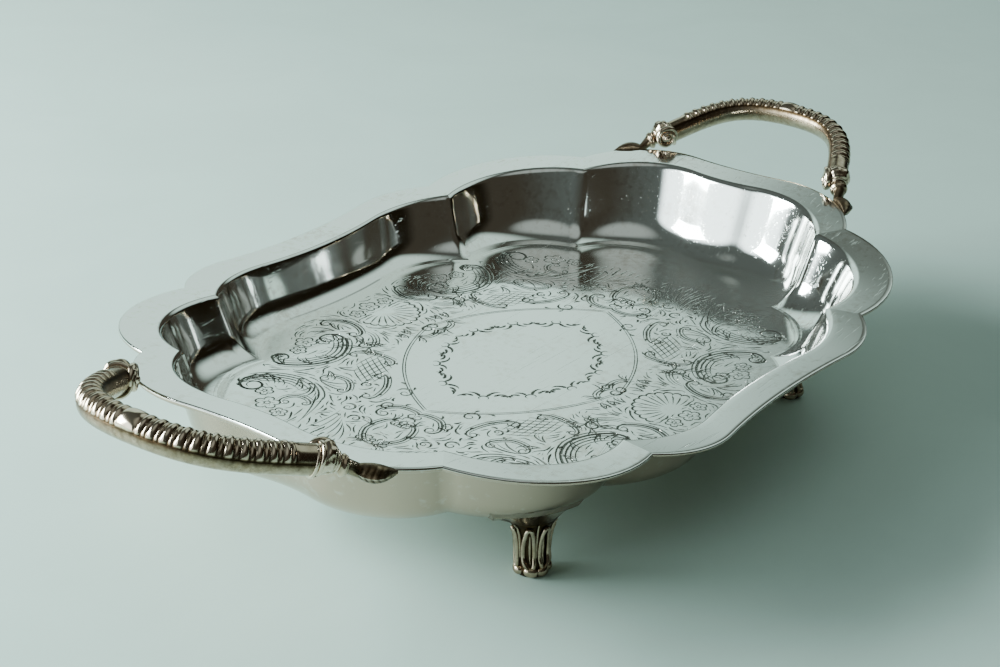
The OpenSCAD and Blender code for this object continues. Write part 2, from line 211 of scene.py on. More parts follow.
def skin(bm, loops, tarnish_and_shade=None, caps=(True, True)):
    """Sweeps a skin through closed loops of points. The optional third argument holds a number from 0 to 1
    for each point, the amount of tarnish and painted shade there.
    """
    layer = bm.verts.layers.float.get("tarnish_and_shade") or bm.verts.layers.float.new("tarnish_and_shade")
    rings = [first_ring(bm, loops[0])]
    for points in loops[1:]:
        rings.append(grow(bm, rings[-1], points))
    if caps[0]:
        cap(bm, rings[0])
    if caps[1]:
        cap(bm, rings[-1])
    if tarnish_and_shade is not None:
        for ring, row in zip(rings, tarnish_and_shade):
            for v, value in zip(ring, row):
                v[layer] = value
    return rings


def finished(bm, name, material, slot, *nodes, smooth=True, sharp=None):
    """Turns a bmesh into a piece of the tray that stands for one or more nodes of the frame."""
    bmesh.ops.recalc_face_normals(bm, faces=bm.faces)
    for f in bm.faces:
        f.smooth = smooth
    mesh = bpy.data.meshes.new(name)
    bm.to_mesh(mesh)
    bm.free()
    if sharp:
        mesh.set_sharp_from_angle(angle=math.radians(sharp))
    obj = bpy.data.objects.new(name, mesh)
    bpy.context.scene.collection.objects.link(obj)
    obj.data.materials.append(material)
    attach(obj, "root")
    if nodes:
        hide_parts(*nodes)
    return obj


def ease(table, t):
    """Reads a table of (place, value, ...) rows at t, easing from each row to the next."""
    if t <= table[0][0]:
        return list(table[0][1:])
    for a, b in zip(table, table[1:]):
        if t <= b[0]:
            f = (t - a[0]) / (b[0] - a[0])
            f = f * f * (3 - 2 * f)
            return [p + (q - p) * f for p, q in zip(a[1:], b[1:])]
    return list(table[-1][1:])


def round_angles(count):
    """Angles at an even spacing once round, in radians."""
    return np.linspace(0, 2 * math.pi, count + 1)[:-1]


def unit(v):
    return v / np.linalg.norm(v)


# ---------------------------------------------------------------- effects shared by the finishes

def node(tree, kind, **values):
    n = tree.nodes.new(kind)
    for key, value in values.items():
        if hasattr(n, key):
            setattr(n, key, value)
        else:
            n.inputs[key.replace("_", " ")].default_value = value
    return n


def group(name, inputs, outputs):
    """An empty node group with float inputs as {name: value} and outputs as [(name, kind)]."""
    tree = bpy.data.node_groups.new(name, "ShaderNodeTree")
    tree.interface.new_socket("Vector", in_out="INPUT", socket_type="NodeSocketVector")
    for key, value in inputs.items():
        s = tree.interface.new_socket(key, in_out="INPUT", socket_type="NodeSocketFloat")
        s.default_value = value
    for key, kind in outputs:
        tree.interface.new_socket(key, in_out="OUTPUT", socket_type=kind)
    return tree, tree.nodes.new("NodeGroupInput"), tree.nodes.new("NodeGroupOutput")


def build_fine_wear():
    """Hairline scratches, a soft handling haze and a slow waviness of rolled and polished metal."""
    tree, a, b = group("fine_wear", {"Haze": 0.5, "Scratch": 0.5, "Wave": 0.5},
                       [("Rough", "NodeSocketFloat"), ("Height", "NodeSocketFloat"),
                        ("Stain", "NodeSocketFloat")])
    link = tree.links.new
    cloud = node(tree, "ShaderNodeTexNoise", Scale=26.0, Detail=6.0, Roughness=0.62)
    spots = node(tree, "ShaderNodeTexNoise", Scale=310.0, Detail=3.0, Roughness=0.6)
    wave = node(tree, "ShaderNodeTexNoise", Scale=7.0, Detail=1.0, Roughness=0.4)
    for n in (cloud, spots, wave):
        link(a.outputs["Vector"], n.inputs["Vector"])
    lines = []
    for turn in (0.35, 1.7):
        place = node(tree, "ShaderNodeMapping")
        place.inputs["Rotation"].default_value = (0.3, 0.2, turn)
        place.inputs["Scale"].default_value = (26, 900, 500)
        hair = node(tree, "ShaderNodeTexNoise", Scale=1.0, Detail=2.0, Roughness=0.7, Distortion=0.25)
        pick = node(tree, "ShaderNodeMapRange", From_Min=0.66, From_Max=0.74)
        link(a.outputs["Vector"], place.inputs["Vector"])
        link(place.outputs["Vector"], hair.inputs["Vector"])
        link(hair.outputs["Fac"], pick.inputs["Value"])
        lines.append(pick)
    both = node(tree, "ShaderNodeMath", operation="MAXIMUM")
    link(lines[0].outputs["Result"], both.inputs[0])
    link(lines[1].outputs["Result"], both.inputs[1])
    scratch = node(tree, "ShaderNodeMath", operation="MULTIPLY")
    link(both.outputs[0], scratch.inputs[0])
    link(a.outputs["Scratch"], scratch.inputs[1])
    haze = node(tree, "ShaderNodeMapRange", From_Min=0.42, From_Max=0.72, To_Max=0.12)
    link(cloud.outputs["Fac"], haze.inputs["Value"])
    amount = node(tree, "ShaderNodeMath", operation="MULTIPLY")
    link(haze.outputs["Result"], amount.inputs[0])
    link(a.outputs["Haze"], amount.inputs[1])
    rough = node(tree, "ShaderNodeMath", operation="MULTIPLY_ADD")
    link(scratch.outputs[0], rough.inputs[0])
    rough.inputs[1].default_value = 0.10
    link(amount.outputs[0], rough.inputs[2])
    link(rough.outputs[0], b.inputs["Rough"])
    swell = node(tree, "ShaderNodeMath", operation="MULTIPLY")
    link(wave.outputs["Fac"], swell.inputs[0])
    link(a.outputs["Wave"], swell.inputs[1])
    height = node(tree, "ShaderNodeMath", operation="MULTIPLY_ADD")
    link(scratch.outputs[0], height.inputs[0])
    height.inputs[1].default_value = -0.02
    link(swell.outputs[0], height.inputs[2])
    link(height.outputs[0], b.inputs["Height"])
    stain = node(tree, "ShaderNodeMath", operation="MULTIPLY")
    link(cloud.outputs["Fac"], stain.inputs[0])
    link(spots.outputs["Fac"], stain.inputs[1])
    link(stain.outputs[0], b.inputs["Stain"])
    return tree


FINE_WEAR = build_fine_wear()


def silver(name, bright, toned_and_shaded, deep_tarnish_and_shade, base_rough, haze, scratch, wave, sunk):
    """Silver plate. Places marked in the mesh turn toward the toned colour for tarnish and painted shade,
    and random stains do too. sunk is a function that adds nodes for the sunk places, which turn toward the
    dark colour for tarnish and painted shade.
    """
    material = bpy.data.materials.new(name)
    material.use_nodes = True
    tree = material.node_tree
    link = tree.links.new
    shader = tree.nodes["Principled BSDF"]
    shader.inputs["Metallic"].default_value = 1.0
    coord = node(tree, "ShaderNodeTexCoord")
    wear = node(tree, "ShaderNodeGroup")
    wear.node_tree = FINE_WEAR
    wear.inputs["Haze"].default_value = haze
    wear.inputs["Scratch"].default_value = scratch
    wear.inputs["Wave"].default_value = wave
    link(coord.outputs["Object"], wear.inputs["Vector"])
    # Marked places and random stains turn toward the toned colour: tarnish, and painted shade in the marked
    # places.
    marked_tarnish_and_shade = node(tree, "ShaderNodeAttribute", attribute_name="tarnish_and_shade")
    spread = node(tree, "ShaderNodeMath", operation="MULTIPLY_ADD")
    link(marked_tarnish_and_shade.outputs["Fac"], spread.inputs[0])
    spread.inputs[1].default_value = 0.5
    link(wear.outputs["Stain"], spread.inputs[2])
    toned_and_shaded_part = node(tree, "ShaderNodeMapRange", From_Min=0.26, From_Max=0.68)
    link(spread.outputs[0], toned_and_shaded_part.inputs["Value"])
    tone = node(tree, "ShaderNodeMix", data_type="RGBA")
    tone.inputs["A"].default_value = (*bright, 1)
    tone.inputs["B"].default_value = (*toned_and_shaded, 1)
    link(toned_and_shaded_part.outputs["Result"], tone.inputs["Factor"])
    # The sunk places turn toward the dark colour and grow rougher: tarnish and painted shade.
    deep = sunk(tree, coord)
    mixed = node(tree, "ShaderNodeMix", data_type="RGBA")
    mixed.inputs["B"].default_value = (*deep_tarnish_and_shade, 1)
    link(deep, mixed.inputs["Factor"])
    link(tone.outputs["Result"], mixed.inputs["A"])
    link(mixed.outputs["Result"], shader.inputs["Base Color"])
    rough = node(tree, "ShaderNodeMath", operation="MULTIPLY_ADD")
    link(deep, rough.inputs[0])
    rough.inputs[1].default_value = 0.28
    link(wear.outputs["Rough"], rough.inputs[2])
    total = node(tree, "ShaderNodeMath", operation="ADD")
    link(rough.outputs[0], total.inputs[0])
    total.inputs[1].default_value = base_rough
    link(total.outputs[0], shader.inputs["Roughness"])
    bump = node(tree, "ShaderNodeBump", Strength=1.0, Distance=0.001)
    link(wear.outputs["Height"], bump.inputs["Height"])
    link(bump.outputs["Normal"], shader.inputs["Normal"])
    return material


def below_floor(tree, coord):
    """Where the metal lies under the level of the well floor's upper face, as in an engraved cut. The cuts
    take a painted shade and tarnish.
    """
    axes = node(tree, "ShaderNodeSeparateXYZ")
    tree.links.new(coord.outputs["Object"], axes.inputs["Vector"])
    cut = node(tree, "ShaderNodeMapRange", From_Min=(FLOOR_Z - 0.01) * MM,
               From_Max=(FLOOR_Z - 0.15) * MM)
    tree.links.new(axes.outputs["Z"], cut.inputs["Value"])
    under = node(tree, "ShaderNodeMath", operation="GREATER_THAN")
    tree.links.new(axes.outputs["Z"], under.inputs[0])
    under.inputs[1].default_value = (FLOOR_Z - 0.8) * MM
    both = node(tree, "ShaderNodeMath", operation="MULTIPLY")
    tree.links.new(cut.outputs["Result"], both.inputs[0])
    tree.links.new(under.outputs[0], both.inputs[1])
    return both.outputs[0]


def from_tarnish_and_shade(tree, coord):
    """The amount of tarnish and painted shade that each cast piece carries, broken up with a fine noise."""
    mark = node(tree, "ShaderNodeAttribute", attribute_name="tarnish_and_shade")
    grit = node(tree, "ShaderNodeTexNoise", Scale=420.0, Detail=4.0, Roughness=0.6)
    tree.links.new(coord.outputs["Object"], grit.inputs["Vector"])
    spread = node(tree, "ShaderNodeMath", operation="MULTIPLY_ADD")
    tree.links.new(grit.outputs["Fac"], spread.inputs[0])
    spread.inputs[1].default_value = 0.5
    tree.links.new(mark.outputs["Fac"], spread.inputs[2])
    edge = node(tree, "ShaderNodeMapRange", From_Min=0.46, From_Max=1.1,
                interpolation_type="SMOOTHSTEP")
    tree.links.new(spread.outputs[0], edge.inputs["Value"])
    return edge.outputs["Result"]


# The toned and dark colours stand for tarnish and painted shade: in the tray's engraved cuts and under its
# sheet, and in the hollows and joins of the cast handles and feet.
bright_silver = silver("bright_silver", bright=(0.93, 0.94, 0.915), toned_and_shaded=(0.50, 0.385, 0.305),
                       deep_tarnish_and_shade=(0.15, 0.155, 0.135), base_rough=0.06, haze=0.6, scratch=0.8, wave=0.30,
                       sunk=below_floor)
toned_and_shaded_silver = silver("toned_and_shaded_silver", bright=(0.66, 0.535, 0.42), toned_and_shaded=(0.38, 0.26, 0.155),
                      deep_tarnish_and_shade=(0.05, 0.03, 0.015), base_rough=0.12, haze=1.2, scratch=0.6, wave=0.15,
                      sunk=from_tarnish_and_shade)


def build_solder_finish():
    """Dull grey solder, brushed down by hand."""
    material = bpy.data.materials.new("solder_grey")
    material.use_nodes = True
    tree = material.node_tree
    shader = tree.nodes["Principled BSDF"]
    shader.inputs["Metallic"].default_value = 1.0
    coord = node(tree, "ShaderNodeTexCoord")
    grain = node(tree, "ShaderNodeTexNoise", Scale=700.0, Detail=5.0, Roughness=0.65)
    tree.links.new(coord.outputs["Object"], grain.inputs["Vector"])
    tone = node(tree, "ShaderNodeMix", data_type="RGBA")
    tone.inputs["A"].default_value = (0.17, 0.135, 0.105, 1)
    tone.inputs["B"].default_value = (0.36, 0.30, 0.24, 1)
    tree.links.new(grain.outputs["Fac"], tone.inputs["Factor"])
    tree.links.new(tone.outputs["Result"], shader.inputs["Base Color"])
    rough = node(tree, "ShaderNodeMapRange", To_Min=0.32, To_Max=0.6)
    tree.links.new(grain.outputs["Fac"], rough.inputs["Value"])
    tree.links.new(rough.outputs["Result"], shader.inputs["Roughness"])
    bump = node(tree, "ShaderNodeBump", Strength=0.6, Distance=0.0002)
    tree.links.new(grain.outputs["Fac"], bump.inputs["Height"])
    tree.links.new(bump.outputs["Normal"], shader.inputs["Normal"])
    return material


solder_grey = build_solder_finish()

# ---------------------------------------------------------------- engraving of the well floor
# Strokes of a graver on one quarter of the floor, as centre lines with a width, in millimetres.

STEP = 0.62


def vine(x, y, heading, spans):
    """Points of a line that starts at x, y and bends through spans of (length, first, last radius)."""
    points = [(x, y)]
    angle = math.radians(heading)
    for length, first, last in spans:
        step = STEP * math.sqrt(min(abs(first), abs(last), 25))
        count = max(2, round(length / step))
        for k in range(count):
            bend = 1 / first + (1 / last - 1 / first) * (k + 0.5) / count
            angle += bend * length / count
            x += math.cos(angle) * length / count
            y += math.sin(angle) * length / count
            points.append((x, y))
    return np.array(points)


def arc(x, y, radius, first, last):
    """Points of an arc round x, y from the first to the last angle in degrees."""
    count = max(4, round(abs(last - first) / 32))
    angles = np.radians(np.linspace(first, last, count + 1))
    return np.column_stack([x + radius * np.cos(angles), y + radius * np.sin(angles)])


def bow(x0, y0, x1, y1, sag):
    """Points of a shallow arc between two places, sag to the left of the way."""
    count = max(3, round(math.hypot(x1 - x0, y1 - y0) / 2.6))
    t = np.linspace(0, 1, count + 1)
    along = np.array([x1 - x0, y1 - y0])
    side = np.array([-along[1], along[0]]) / max(1e-6, np.hypot(*along))
    return np.outer(1 - t, (x0, y0)) + np.outer(t, (x1, y1)) + np.outer(4 * t * (1 - t) * sag, side)


def beside(points, gap):
    """A line that keeps a gap to the left of another."""
    along = np.gradient(points, axis=0)
    along /= np.maximum(np.linalg.norm(along, axis=1), 1e-9)[:, None]
    return points + np.column_stack([-along[:, 1], along[:, 0]]) * gap


class Graver:
    """Collects strokes as (points, widest, taper)."""

    def __init__(self):
        self.strokes = []

    def cut(self, points, width=0.55, taper="both"):
        self.strokes.append((np.asarray(points), width, taper))

    def scroll(self, x, y, heading, radius, ahead, behind, eye_a, eye_b, rail=1.5, width=0.75):
        """A C-scroll through x, y. It bends with radius, and rolls up into an eye at each end."""
        parts = []
        for way, length, eye in ((0, ahead, eye_a), (180, behind, eye_b)):
            r = radius if way == 0 else -radius
            s = math.copysign(1, r)
            spans = [(length, r, r)]
            if eye:
                spans += [(eye * 2.4, r, s * eye), (eye * 4.2, s * eye, s * eye * 0.42)]
            parts.append(vine(x, y, heading + way, spans))
        line = np.vstack([parts[1][::-1], parts[0][1:]])
        self.cut(line, width)
        hand = math.copysign(1, radius)
        gap = max(1.35, 0.95 * rail)
        run = np.concatenate([[0], np.cumsum(np.hypot(*np.diff(line, axis=0).T))])
        for k in range(3 if rail > 1.4 else 1):
            keep = line[(run > 4.4 * eye_b + 2.5 * k) & (run < run[-1] - 4.4 * eye_a - 2.5 * k)]
            if len(keep) > 3:
                self.cut(beside(keep, hand * gap * (k + 1)), width * (0.7, 0.6, 0.5)[k])
        keep = line[(run > 5.2 * eye_b) & (run < run[-1] - 5.2 * eye_a)]
        self.cut(beside(keep, -hand * gap), width * 0.6)
        return line

    def comma(self, x, y, heading, size, hand=1):
        """A short fat cut that hooks round and dies away."""
        line = vine(x, y, heading, [(size, hand * size * 1.2, hand * size * 0.5)])
        self.cut(line, 0.3 * size ** 0.5 + 0.34, "in")

    def leaf(self, x, y, heading, size, hand=1, fat=0.3, width=0.66):
        """A flame-shaped leaf: a long hooked cut, a shorter one that answers it, and a shading line."""
        size *= 1.3
        tip = hand * size
        hook = [(size * 0.62, tip * 1.5, tip * 0.9), (size * 0.5, tip * 0.8, tip * 0.22)]
        self.cut(vine(x, y, heading - hand * 60 * fat, hook), width, "in")
        self.cut(vine(x, y, heading + hand * 50 * fat, [(size * 0.74, tip * 1.5, tip * 0.6)]), width * 0.8)
        if size > 5:
            shade = vine(x, y, heading - hand * 12 * fat, [(size * 0.8, tip * 1.4, tip * 0.8)])
            self.cut(shade[2:], width * 0.6, "in")

    def along(self, line, first, last, count):
        """Places spread along a line, each with its way ahead in degrees."""
        for k in range(count):
            t = first + (last - first) * (k + 0.5) / count
            i = min(len(line) - 2, max(1, round(t * (len(line) - 1))))
            d = line[i + 1] - line[i - 1]
            yield k, line[i][0], line[i][1], math.degrees(math.atan2(d[1], d[0]))

    def spray(self, line, first, last, size, hand, count, lean=35, fat=0.3):
        """Leaves that grow from one side of a line."""
        for k, x, y, way in self.along(line, first, last, count):
            grown = size * (0.65 + 0.5 * math.sin(math.pi * (k + 0.7) / (count + 0.4)))
            self.leaf(x, y, way + hand * lean, grown, hand, fat)

    def curls(self, line, first, last, size, hand, count, lean=60):
        """Comma cuts along one side of a line."""
        for k, x, y, way in self.along(line, first, last, count):
            self.comma(x, y, way + hand * lean, size * (0.8 + 0.35 * math.sin(2.1 * k)), -hand)

    def flower(self, x, y, radius, turn=0, petals=5):
        """A round flower with an eye and bowed petals."""
        self.cut(arc(x, y, radius * 0.24, 0, 360), 0.45, "even")
        for k in range(petals):
            a = turn + 360 * k / petals
            px = x + 0.62 * radius * math.cos(math.radians(a))
            py = y + 0.62 * radius * math.sin(math.radians(a))
            self.cut(arc(px, py, radius * 0.38, a - 130, a + 130), 0.55)
            self.cut(bow(x + 0.3 * (px - x), y + 0.3 * (py - y), px, py, 0.1), 0.35, "in")

    def hatch(self, x, y, wide, high, angle, gap=1.0, width=0.3):
        """Parallel fine cuts that fill an oval, as the ground behind flowers."""
        c, s = math.cos(math.radians(angle)), math.sin(math.radians(angle))
        for k in range(-int(high / gap), int(high / gap) + 1):
            v = k * gap
            half = wide * math.sqrt(max(0, 1 - (v / high) ** 2))
            if half > 1:
                start = (x - half * c - v * s, y - half * s + v * c)
                stop = (x + half * c - v * s, y + half * s + v * c)
                self.cut([start, stop], width, "even")

    def lattice(self, x, y, wide, high, angle, gap=3.0):
        """Crossed lines over a leaning panel."""
        main = math.radians(angle)
        for lean in (28, -28):
            a = math.radians(angle + lean)
            d = np.arange(-wide, wide, 0.5)
            for k in range(-5, 6):
                px = x - math.sin(a) * k * gap + math.cos(a) * d
                py = y + math.cos(a) * k * gap + math.sin(a) * d
                u = (px - x) * math.cos(main) + (py - y) * math.sin(main)
                w = (py - y) * math.cos(main) - (px - x) * math.sin(main)
                held = np.nonzero((u / wide) ** 2 + (w / high) ** 2 < 1)[0]
                if len(held) > 4:
                    i, j = held[0], held[-1]
                    self.cut(bow(px[i], py[i], px[j], py[j], 0.4), 0.42)

    def shell(self, x, y, radius, facing, half_angle, ribs):
        """A scallop shell: ribs that fan from a hinge, each with a rounded end."""
        for k in range(ribs + 1):
            a = math.radians(facing - half_angle + 2 * half_angle * k / ribs)
            c, s = math.cos(a), math.sin(a)
            grown = radius * (1 - 0.12 * abs(2 * k / ribs - 1))
            bend = k / ribs - 0.5
            self.cut(bow(x + 0.3 * radius * c, y + 0.3 * radius * s, x + grown * c, y + grown * s,
                         0.8 * bend), 0.6, "out")
            self.cut(bow(x + 0.62 * radius * c, y + 0.62 * radius * s, x + 0.9 * grown * c,
                         y + 0.9 * grown * s, 1.2 * bend), 0.4, "out")
        for k in range(ribs):
            a = facing - half_angle + 2 * half_angle * (k + 0.5) / ribs
            r = radius * (1 - 0.12 * abs(2 * (k + 0.5) / ribs - 1))
            span = r * math.radians(2 * half_angle / ribs) * 0.55
            self.cut(arc(x + r * math.cos(math.radians(a)), y + r * math.sin(math.radians(a)), span,
                         a - 95, a + 95), 0.7)


def engraved_quarter():
    """The strokes of one quarter of the floor, x and y above zero."""
    g = Graver()
    # Corner scroll that opens to the end, its flowers and the ground behind them.
    big = g.scroll(76, 57, -92, 22, 17, 13, 0, 6.4, rail=2.0, width=0.9)
    g.cut(vine(*big[-1], -38, [(14, 40, 90), (14, 90, 60)]), 0.6, "in")
    g.cut(vine(big[-1][0] - 1, big[-1][1] - 3, -30, [(14, 40, 90), (13, 90, 60)]), 0.5, "in")
    g.spray(big, 0.52, 0.98, 8.5, 1, 6, lean=32, fat=0.22)
    g.curls(big, 0.50, 0.95, 3.6, -1, 8)
    g.hatch(99, 54, 9, 10, 62)
    g.flower(100.5, 52, 5.2, 10)
    g.flower(93, 60, 3.8, 40)
    g.flower(104, 43, 3.6, 70)
    g.scroll(88, 47, -120, 7.5, 7, 6, 1.8, 2.2, rail=1.0, width=0.6)
    # Bowl scroll along the side, with its flowers and leaves.
    bowl = g.scroll(52, 58, 4, 23, 19, 17, 5.0, 5.4, rail=2.0, width=0.9)
    g.spray(bowl, 0.28, 0.76, 7.0, 1, 8, lean=40, fat=0.22)
    g.curls(bowl, 0.3, 0.75, 3.0, -1, 9)
    g.hatch(49, 76, 10, 6, 15)
    g.flower(47, 78, 4.8, 20)
    g.flower(55, 75, 3.6, 50)
    g.flower(41, 73, 3.2, 0)
    # Leaves in the wedge between the two and in the hollows round them.
    sprigs = ((73, 74, 75, 9), (76, 75, 100, 7), (70, 76, 58, 7), (74, 50, -62, 15), (71, 50, -75, 13),
              (77, 47, -50, 12), (30, 76, 82, 9), (28, 75, 100, 8), (33, 78, 60, 7), (29, 66, -80, 8),
              (31, 60, -100, 8), (62, 53, -70, 8), (57, 52, -95, 7), (38, 56, -110, 7), (34, 52, -60, 6))
    for k, (x, y, heading, size) in enumerate(sprigs):
        g.leaf(x, y, heading, size, 1 if k % 2 else -1, 0.26)
    # Lattice panel with scrolls round it.
    g.lattice(49, 40, 14, 8, -28, gap=2.6)
    rim = g.scroll(37, 50, -108, 24, 9, 5, 2.6, 2.2, rail=1.1, width=0.65)
    g.curls(rim, 0.1, 0.9, 2.6, -1, 7)
    low = g.scroll(59, 25, 156, -32, 8, 8, 2.6, 2.6, rail=1.1, width=0.65)
    g.curls(low, 0.1, 0.9, 2.8, 1, 8)
    g.scroll(64, 41, -70, 12, 8, 7, 2.2, 2.6, rail=1.0, width=0.6)
    twirls = ((78, 28, 3.0, 200), (55, 20, 3.6, 160), (70, 12, 3.0, 30), (62, 33, 2.2, 90),
              (88, 19, 2.6, 120))
    for x, y, r, heading in twirls:
        g.cut(vine(x + r, y, heading, [(r * 3.2, r, r * 0.8), (r * 2.6, r * 0.8, r * 0.3)]), 0.75, "in")
        g.comma(x - r, y + r, heading + 80, 3.6)
        g.comma(x - r, y - r, heading + 140, 3.2)
        g.comma(x + r, y + 1.5 * r, heading + 20, 3.0, -1)
    # End of the strap: flower on the axis, scrolls and leaves beside it.
    g.flower(79, 0, 4.6, 90)
    g.scroll(69, 10, 62, -12, 6, 7, 3.0, 2.6, rail=1.0, width=0.7)
    tail = g.scroll(92, 9, 168, 18, 9, 9, 3.0, 2.8, rail=1.1, width=0.65)
    g.curls(tail, 0.1, 0.9, 3.0, 1, 7)
    g.spray(tail, 0.2, 0.8, 5.0, -1, 5)
    g.flower(99, 4, 3.4, 0)
    for k in range(6):
        g.cut(bow(86 + 2 * k, 26 - 1.8 * k, 108, 27 - 3.4 * k, -1.2), 0.42)
    for k in range(5):
        g.comma(84 + 5 * k, 33 - 1.6 * k, -30 - 12 * k, 4.0, 1 if k % 2 else -1)
    # Strap round the plain middle: a pair of fine lines outside, leaf cuts inside.
    outer = bow(66, 0, 0, 50, -9.5)
    g.cut(outer, 0.42, "even")
    g.cut(beside(outer, 1.1), 0.36, "even")
    inner = bow(45, 1, 0, 33, -7.0)
    for k, x, y, way in g.along(inner, 0.0, 1.0, 6):
        hand = 1 if k % 2 else -1
        turned = way if hand > 0 else way + 180
        size = 1 + 0.16 * math.sin(2.3 * k)
        c, d = math.cos(math.radians(turned)), math.sin(math.radians(turned))
        for j in range(3):
            g.comma(x + (2.7 * j - 2.7) * c, y + (2.7 * j - 2.7) * d, turned + hand * (74 - 24 * j),
                    (6.6 - 1.1 * j) * size, -hand)
        hook = [(4.0, hand * 5, hand * 2), (2.2, hand * 1.4, hand)]
        g.cut(vine(x - 2.6 * c, y - 2.6 * d, turned + 150 * hand, hook), 0.6, "in")
    # Pair of scrolls above the strap, on the middle line.
    pair = g.scroll(8.5, 43, -150, -9, 5, 8, 3.6, 0, rail=1.0, width=0.75)
    g.curls(pair, 0.0, 0.5, 3.2, -1, 4)
    g.spray(pair, 0.0, 0.4, 6, 1, 3)
    # Shell on the middle line, with its flowers and side scrolls.
    g.shell(0, 74, 15, -90, 88, 12)
    g.flower(0, 82, 4.6, 90)
    g.flower(9.5, 80.5, 3.6, 30)
    side = g.scroll(19, 76, 92, -16, 8, 9, 3.0, 2.8, rail=1.3, width=0.75)
    g.curls(side, 0.1, 0.9, 3.0, 1, 7)
    side = g.scroll(22, 62, -70, 15, 9, 6, 3.2, 0, rail=1.2, width=0.7)
    g.spray(side, 0.1, 0.9, 6.0, -1, 5)
    for k in range(5):
        g.leaf(17 - 2.6 * k, 54 + 0.6 * k, 250 + 8 * k, 5.5, 1 if k % 2 else -1, 0.3)
    fill_ground(g)
    return [s for s in g.strokes if len(s[0]) > 1]


def spaced(line, gap):
    """Points along a line at an even spacing."""
    run = np.concatenate([[0], np.cumsum(np.hypot(*np.diff(line, axis=0).T))])
    at = np.linspace(0, run[-1], max(2, round(run[-1] / gap) + 1))
    return np.column_stack([np.interp(at, run, line[:, k]) for k in (0, 1)])


class Ground:
    """The bare floor between the figures, with the figures' lines as guides for the cuts that fill it."""

    CELL = 1.6

    def __init__(self, strokes):
        self.cells = {}
        lines = [spaced(s[0], 0.8) for s in strokes if len(s[0]) > 1]
        self.guides = kdtree.KDTree(sum(len(line) for line in lines))
        self.ways = []
        for line in lines:
            self.mark(line)
            turn = np.gradient(line, axis=0)
            for p, d in zip(line, turn):
                self.guides.insert((p[0], p[1], 0), len(self.ways))
                self.ways.append(math.atan2(d[1], d[0]))
        self.guides.balance()

    def mark(self, points):
        for x, y in points:
            self.cells.setdefault((x // self.CELL, y // self.CELL), []).append((x, y))

    def clear(self, x, y, room):
        cx, cy = x // self.CELL, y // self.CELL
        for i in (cx - 1, cx, cx + 1):
            for j in (cy - 1, cy, cy + 1):
                for px, py in self.cells.get((i, j), ()):
                    if (px - x) ** 2 + (py - y) ** 2 < room * room:
                        return False
        return True

    def flow(self, x, y):
        """Which way a cut runs here: away from the nearest line close to it, along it further off."""
        near, k, d = self.guides.find((x, y, 0))
        way = self.ways[k]
        side = math.copysign(1, math.cos(way) * (y - near[1]) - math.sin(way) * (x - near[0]))
        return way + side * math.radians(30 * math.exp(-d / 2.2) + 3), side


PLAIN_HALF = (67, 50)


def plain_metal(x, y):
    """The plain middle and the strap round it."""
    return math.hypot(x / PLAIN_HALF[0], y / PLAIN_HALF[1]) < 1


def fill_ground(g):
    """Flowing cuts between the figures. Each leaves a line at a lean, runs with it and hooks over."""
    rng = np.random.default_rng(7)
    border = FLOOR[: QUARTER + 1] * (0.80, 0.955)
    inside = polygon_test(np.vstack([border, [(0, 0)]]))
    ground = Ground(g.strokes)
    tries = np.column_stack([rng.uniform(1, 116, 6000), rng.uniform(1, 92, 6000)])
    for enough in (8, 5, 3):
        for x, y in tries[inside(tries)]:
            if plain_metal(x, y) or not ground.clear(x, y, 1.25):
                continue
            heading, hand = ground.flow(x, y)
            steps = rng.integers(9, 17)
            path = [(x, y)]
            for k in range(steps):
                aim, _ = ground.flow(x, y)
                turn = math.remainder(aim - heading, 2 * math.pi)
                heading += max(-0.2, min(0.2, turn)) if k < 0.7 * steps else -hand * 0.36
                x += 0.8 * math.cos(heading)
                y += 0.8 * math.sin(heading)
                if plain_metal(x, y) or not ground.clear(x, y, 0.95) or not inside(np.array([(x, y)]))[0]:
                    break
                path.append((x, y))
            if len(path) > enough:
                ground.mark(path)
                kept = path[::2] + path[-1:] * (len(path) % 2 == 0)
                g.cut(kept, 0.40 + 0.022 * len(path), "in")


def polygon_test(corners):
    """A test of which points lie inside a polygon."""
    x0, y0 = corners[:, 0], corners[:, 1]
    x1, y1 = np.roll(x0, -1), np.roll(y0, -1)

    def test(points):
        px, py = points[:, 0][:, None], points[:, 1][:, None]
        crosses = (y0 > py) != (y1 > py)
        with np.errstate(divide="ignore", invalid="ignore"):
            at = x0 + (py - y0) / (y1 - y0) * (x1 - x0)
        return (crosses & (px < at)).sum(axis=1) % 2 == 1

    return test


CUT_WIDER = 1.6
CUT_DEPTH = 0.42
DEEPEST = 0.42


def half_widths(count, width, taper):
    t = np.linspace(0, 1, count)
    if taper == "even":
        shape = np.full(count, 0.85)
    elif taper == "in":
        shape = np.sqrt(np.clip(1 - t, 0.02, 1)) * np.minimum(1, 0.35 + 5 * t)
    elif taper == "out":
        shape = np.sqrt(np.clip(t, 0.02, 1)) * np.minimum(1, 0.35 + 5 * (1 - t))
    else:
        shape = np.sin(np.pi * np.clip(t, 0.03, 0.97)) ** 0.55
    return CUT_WIDER * width / 2 * shape


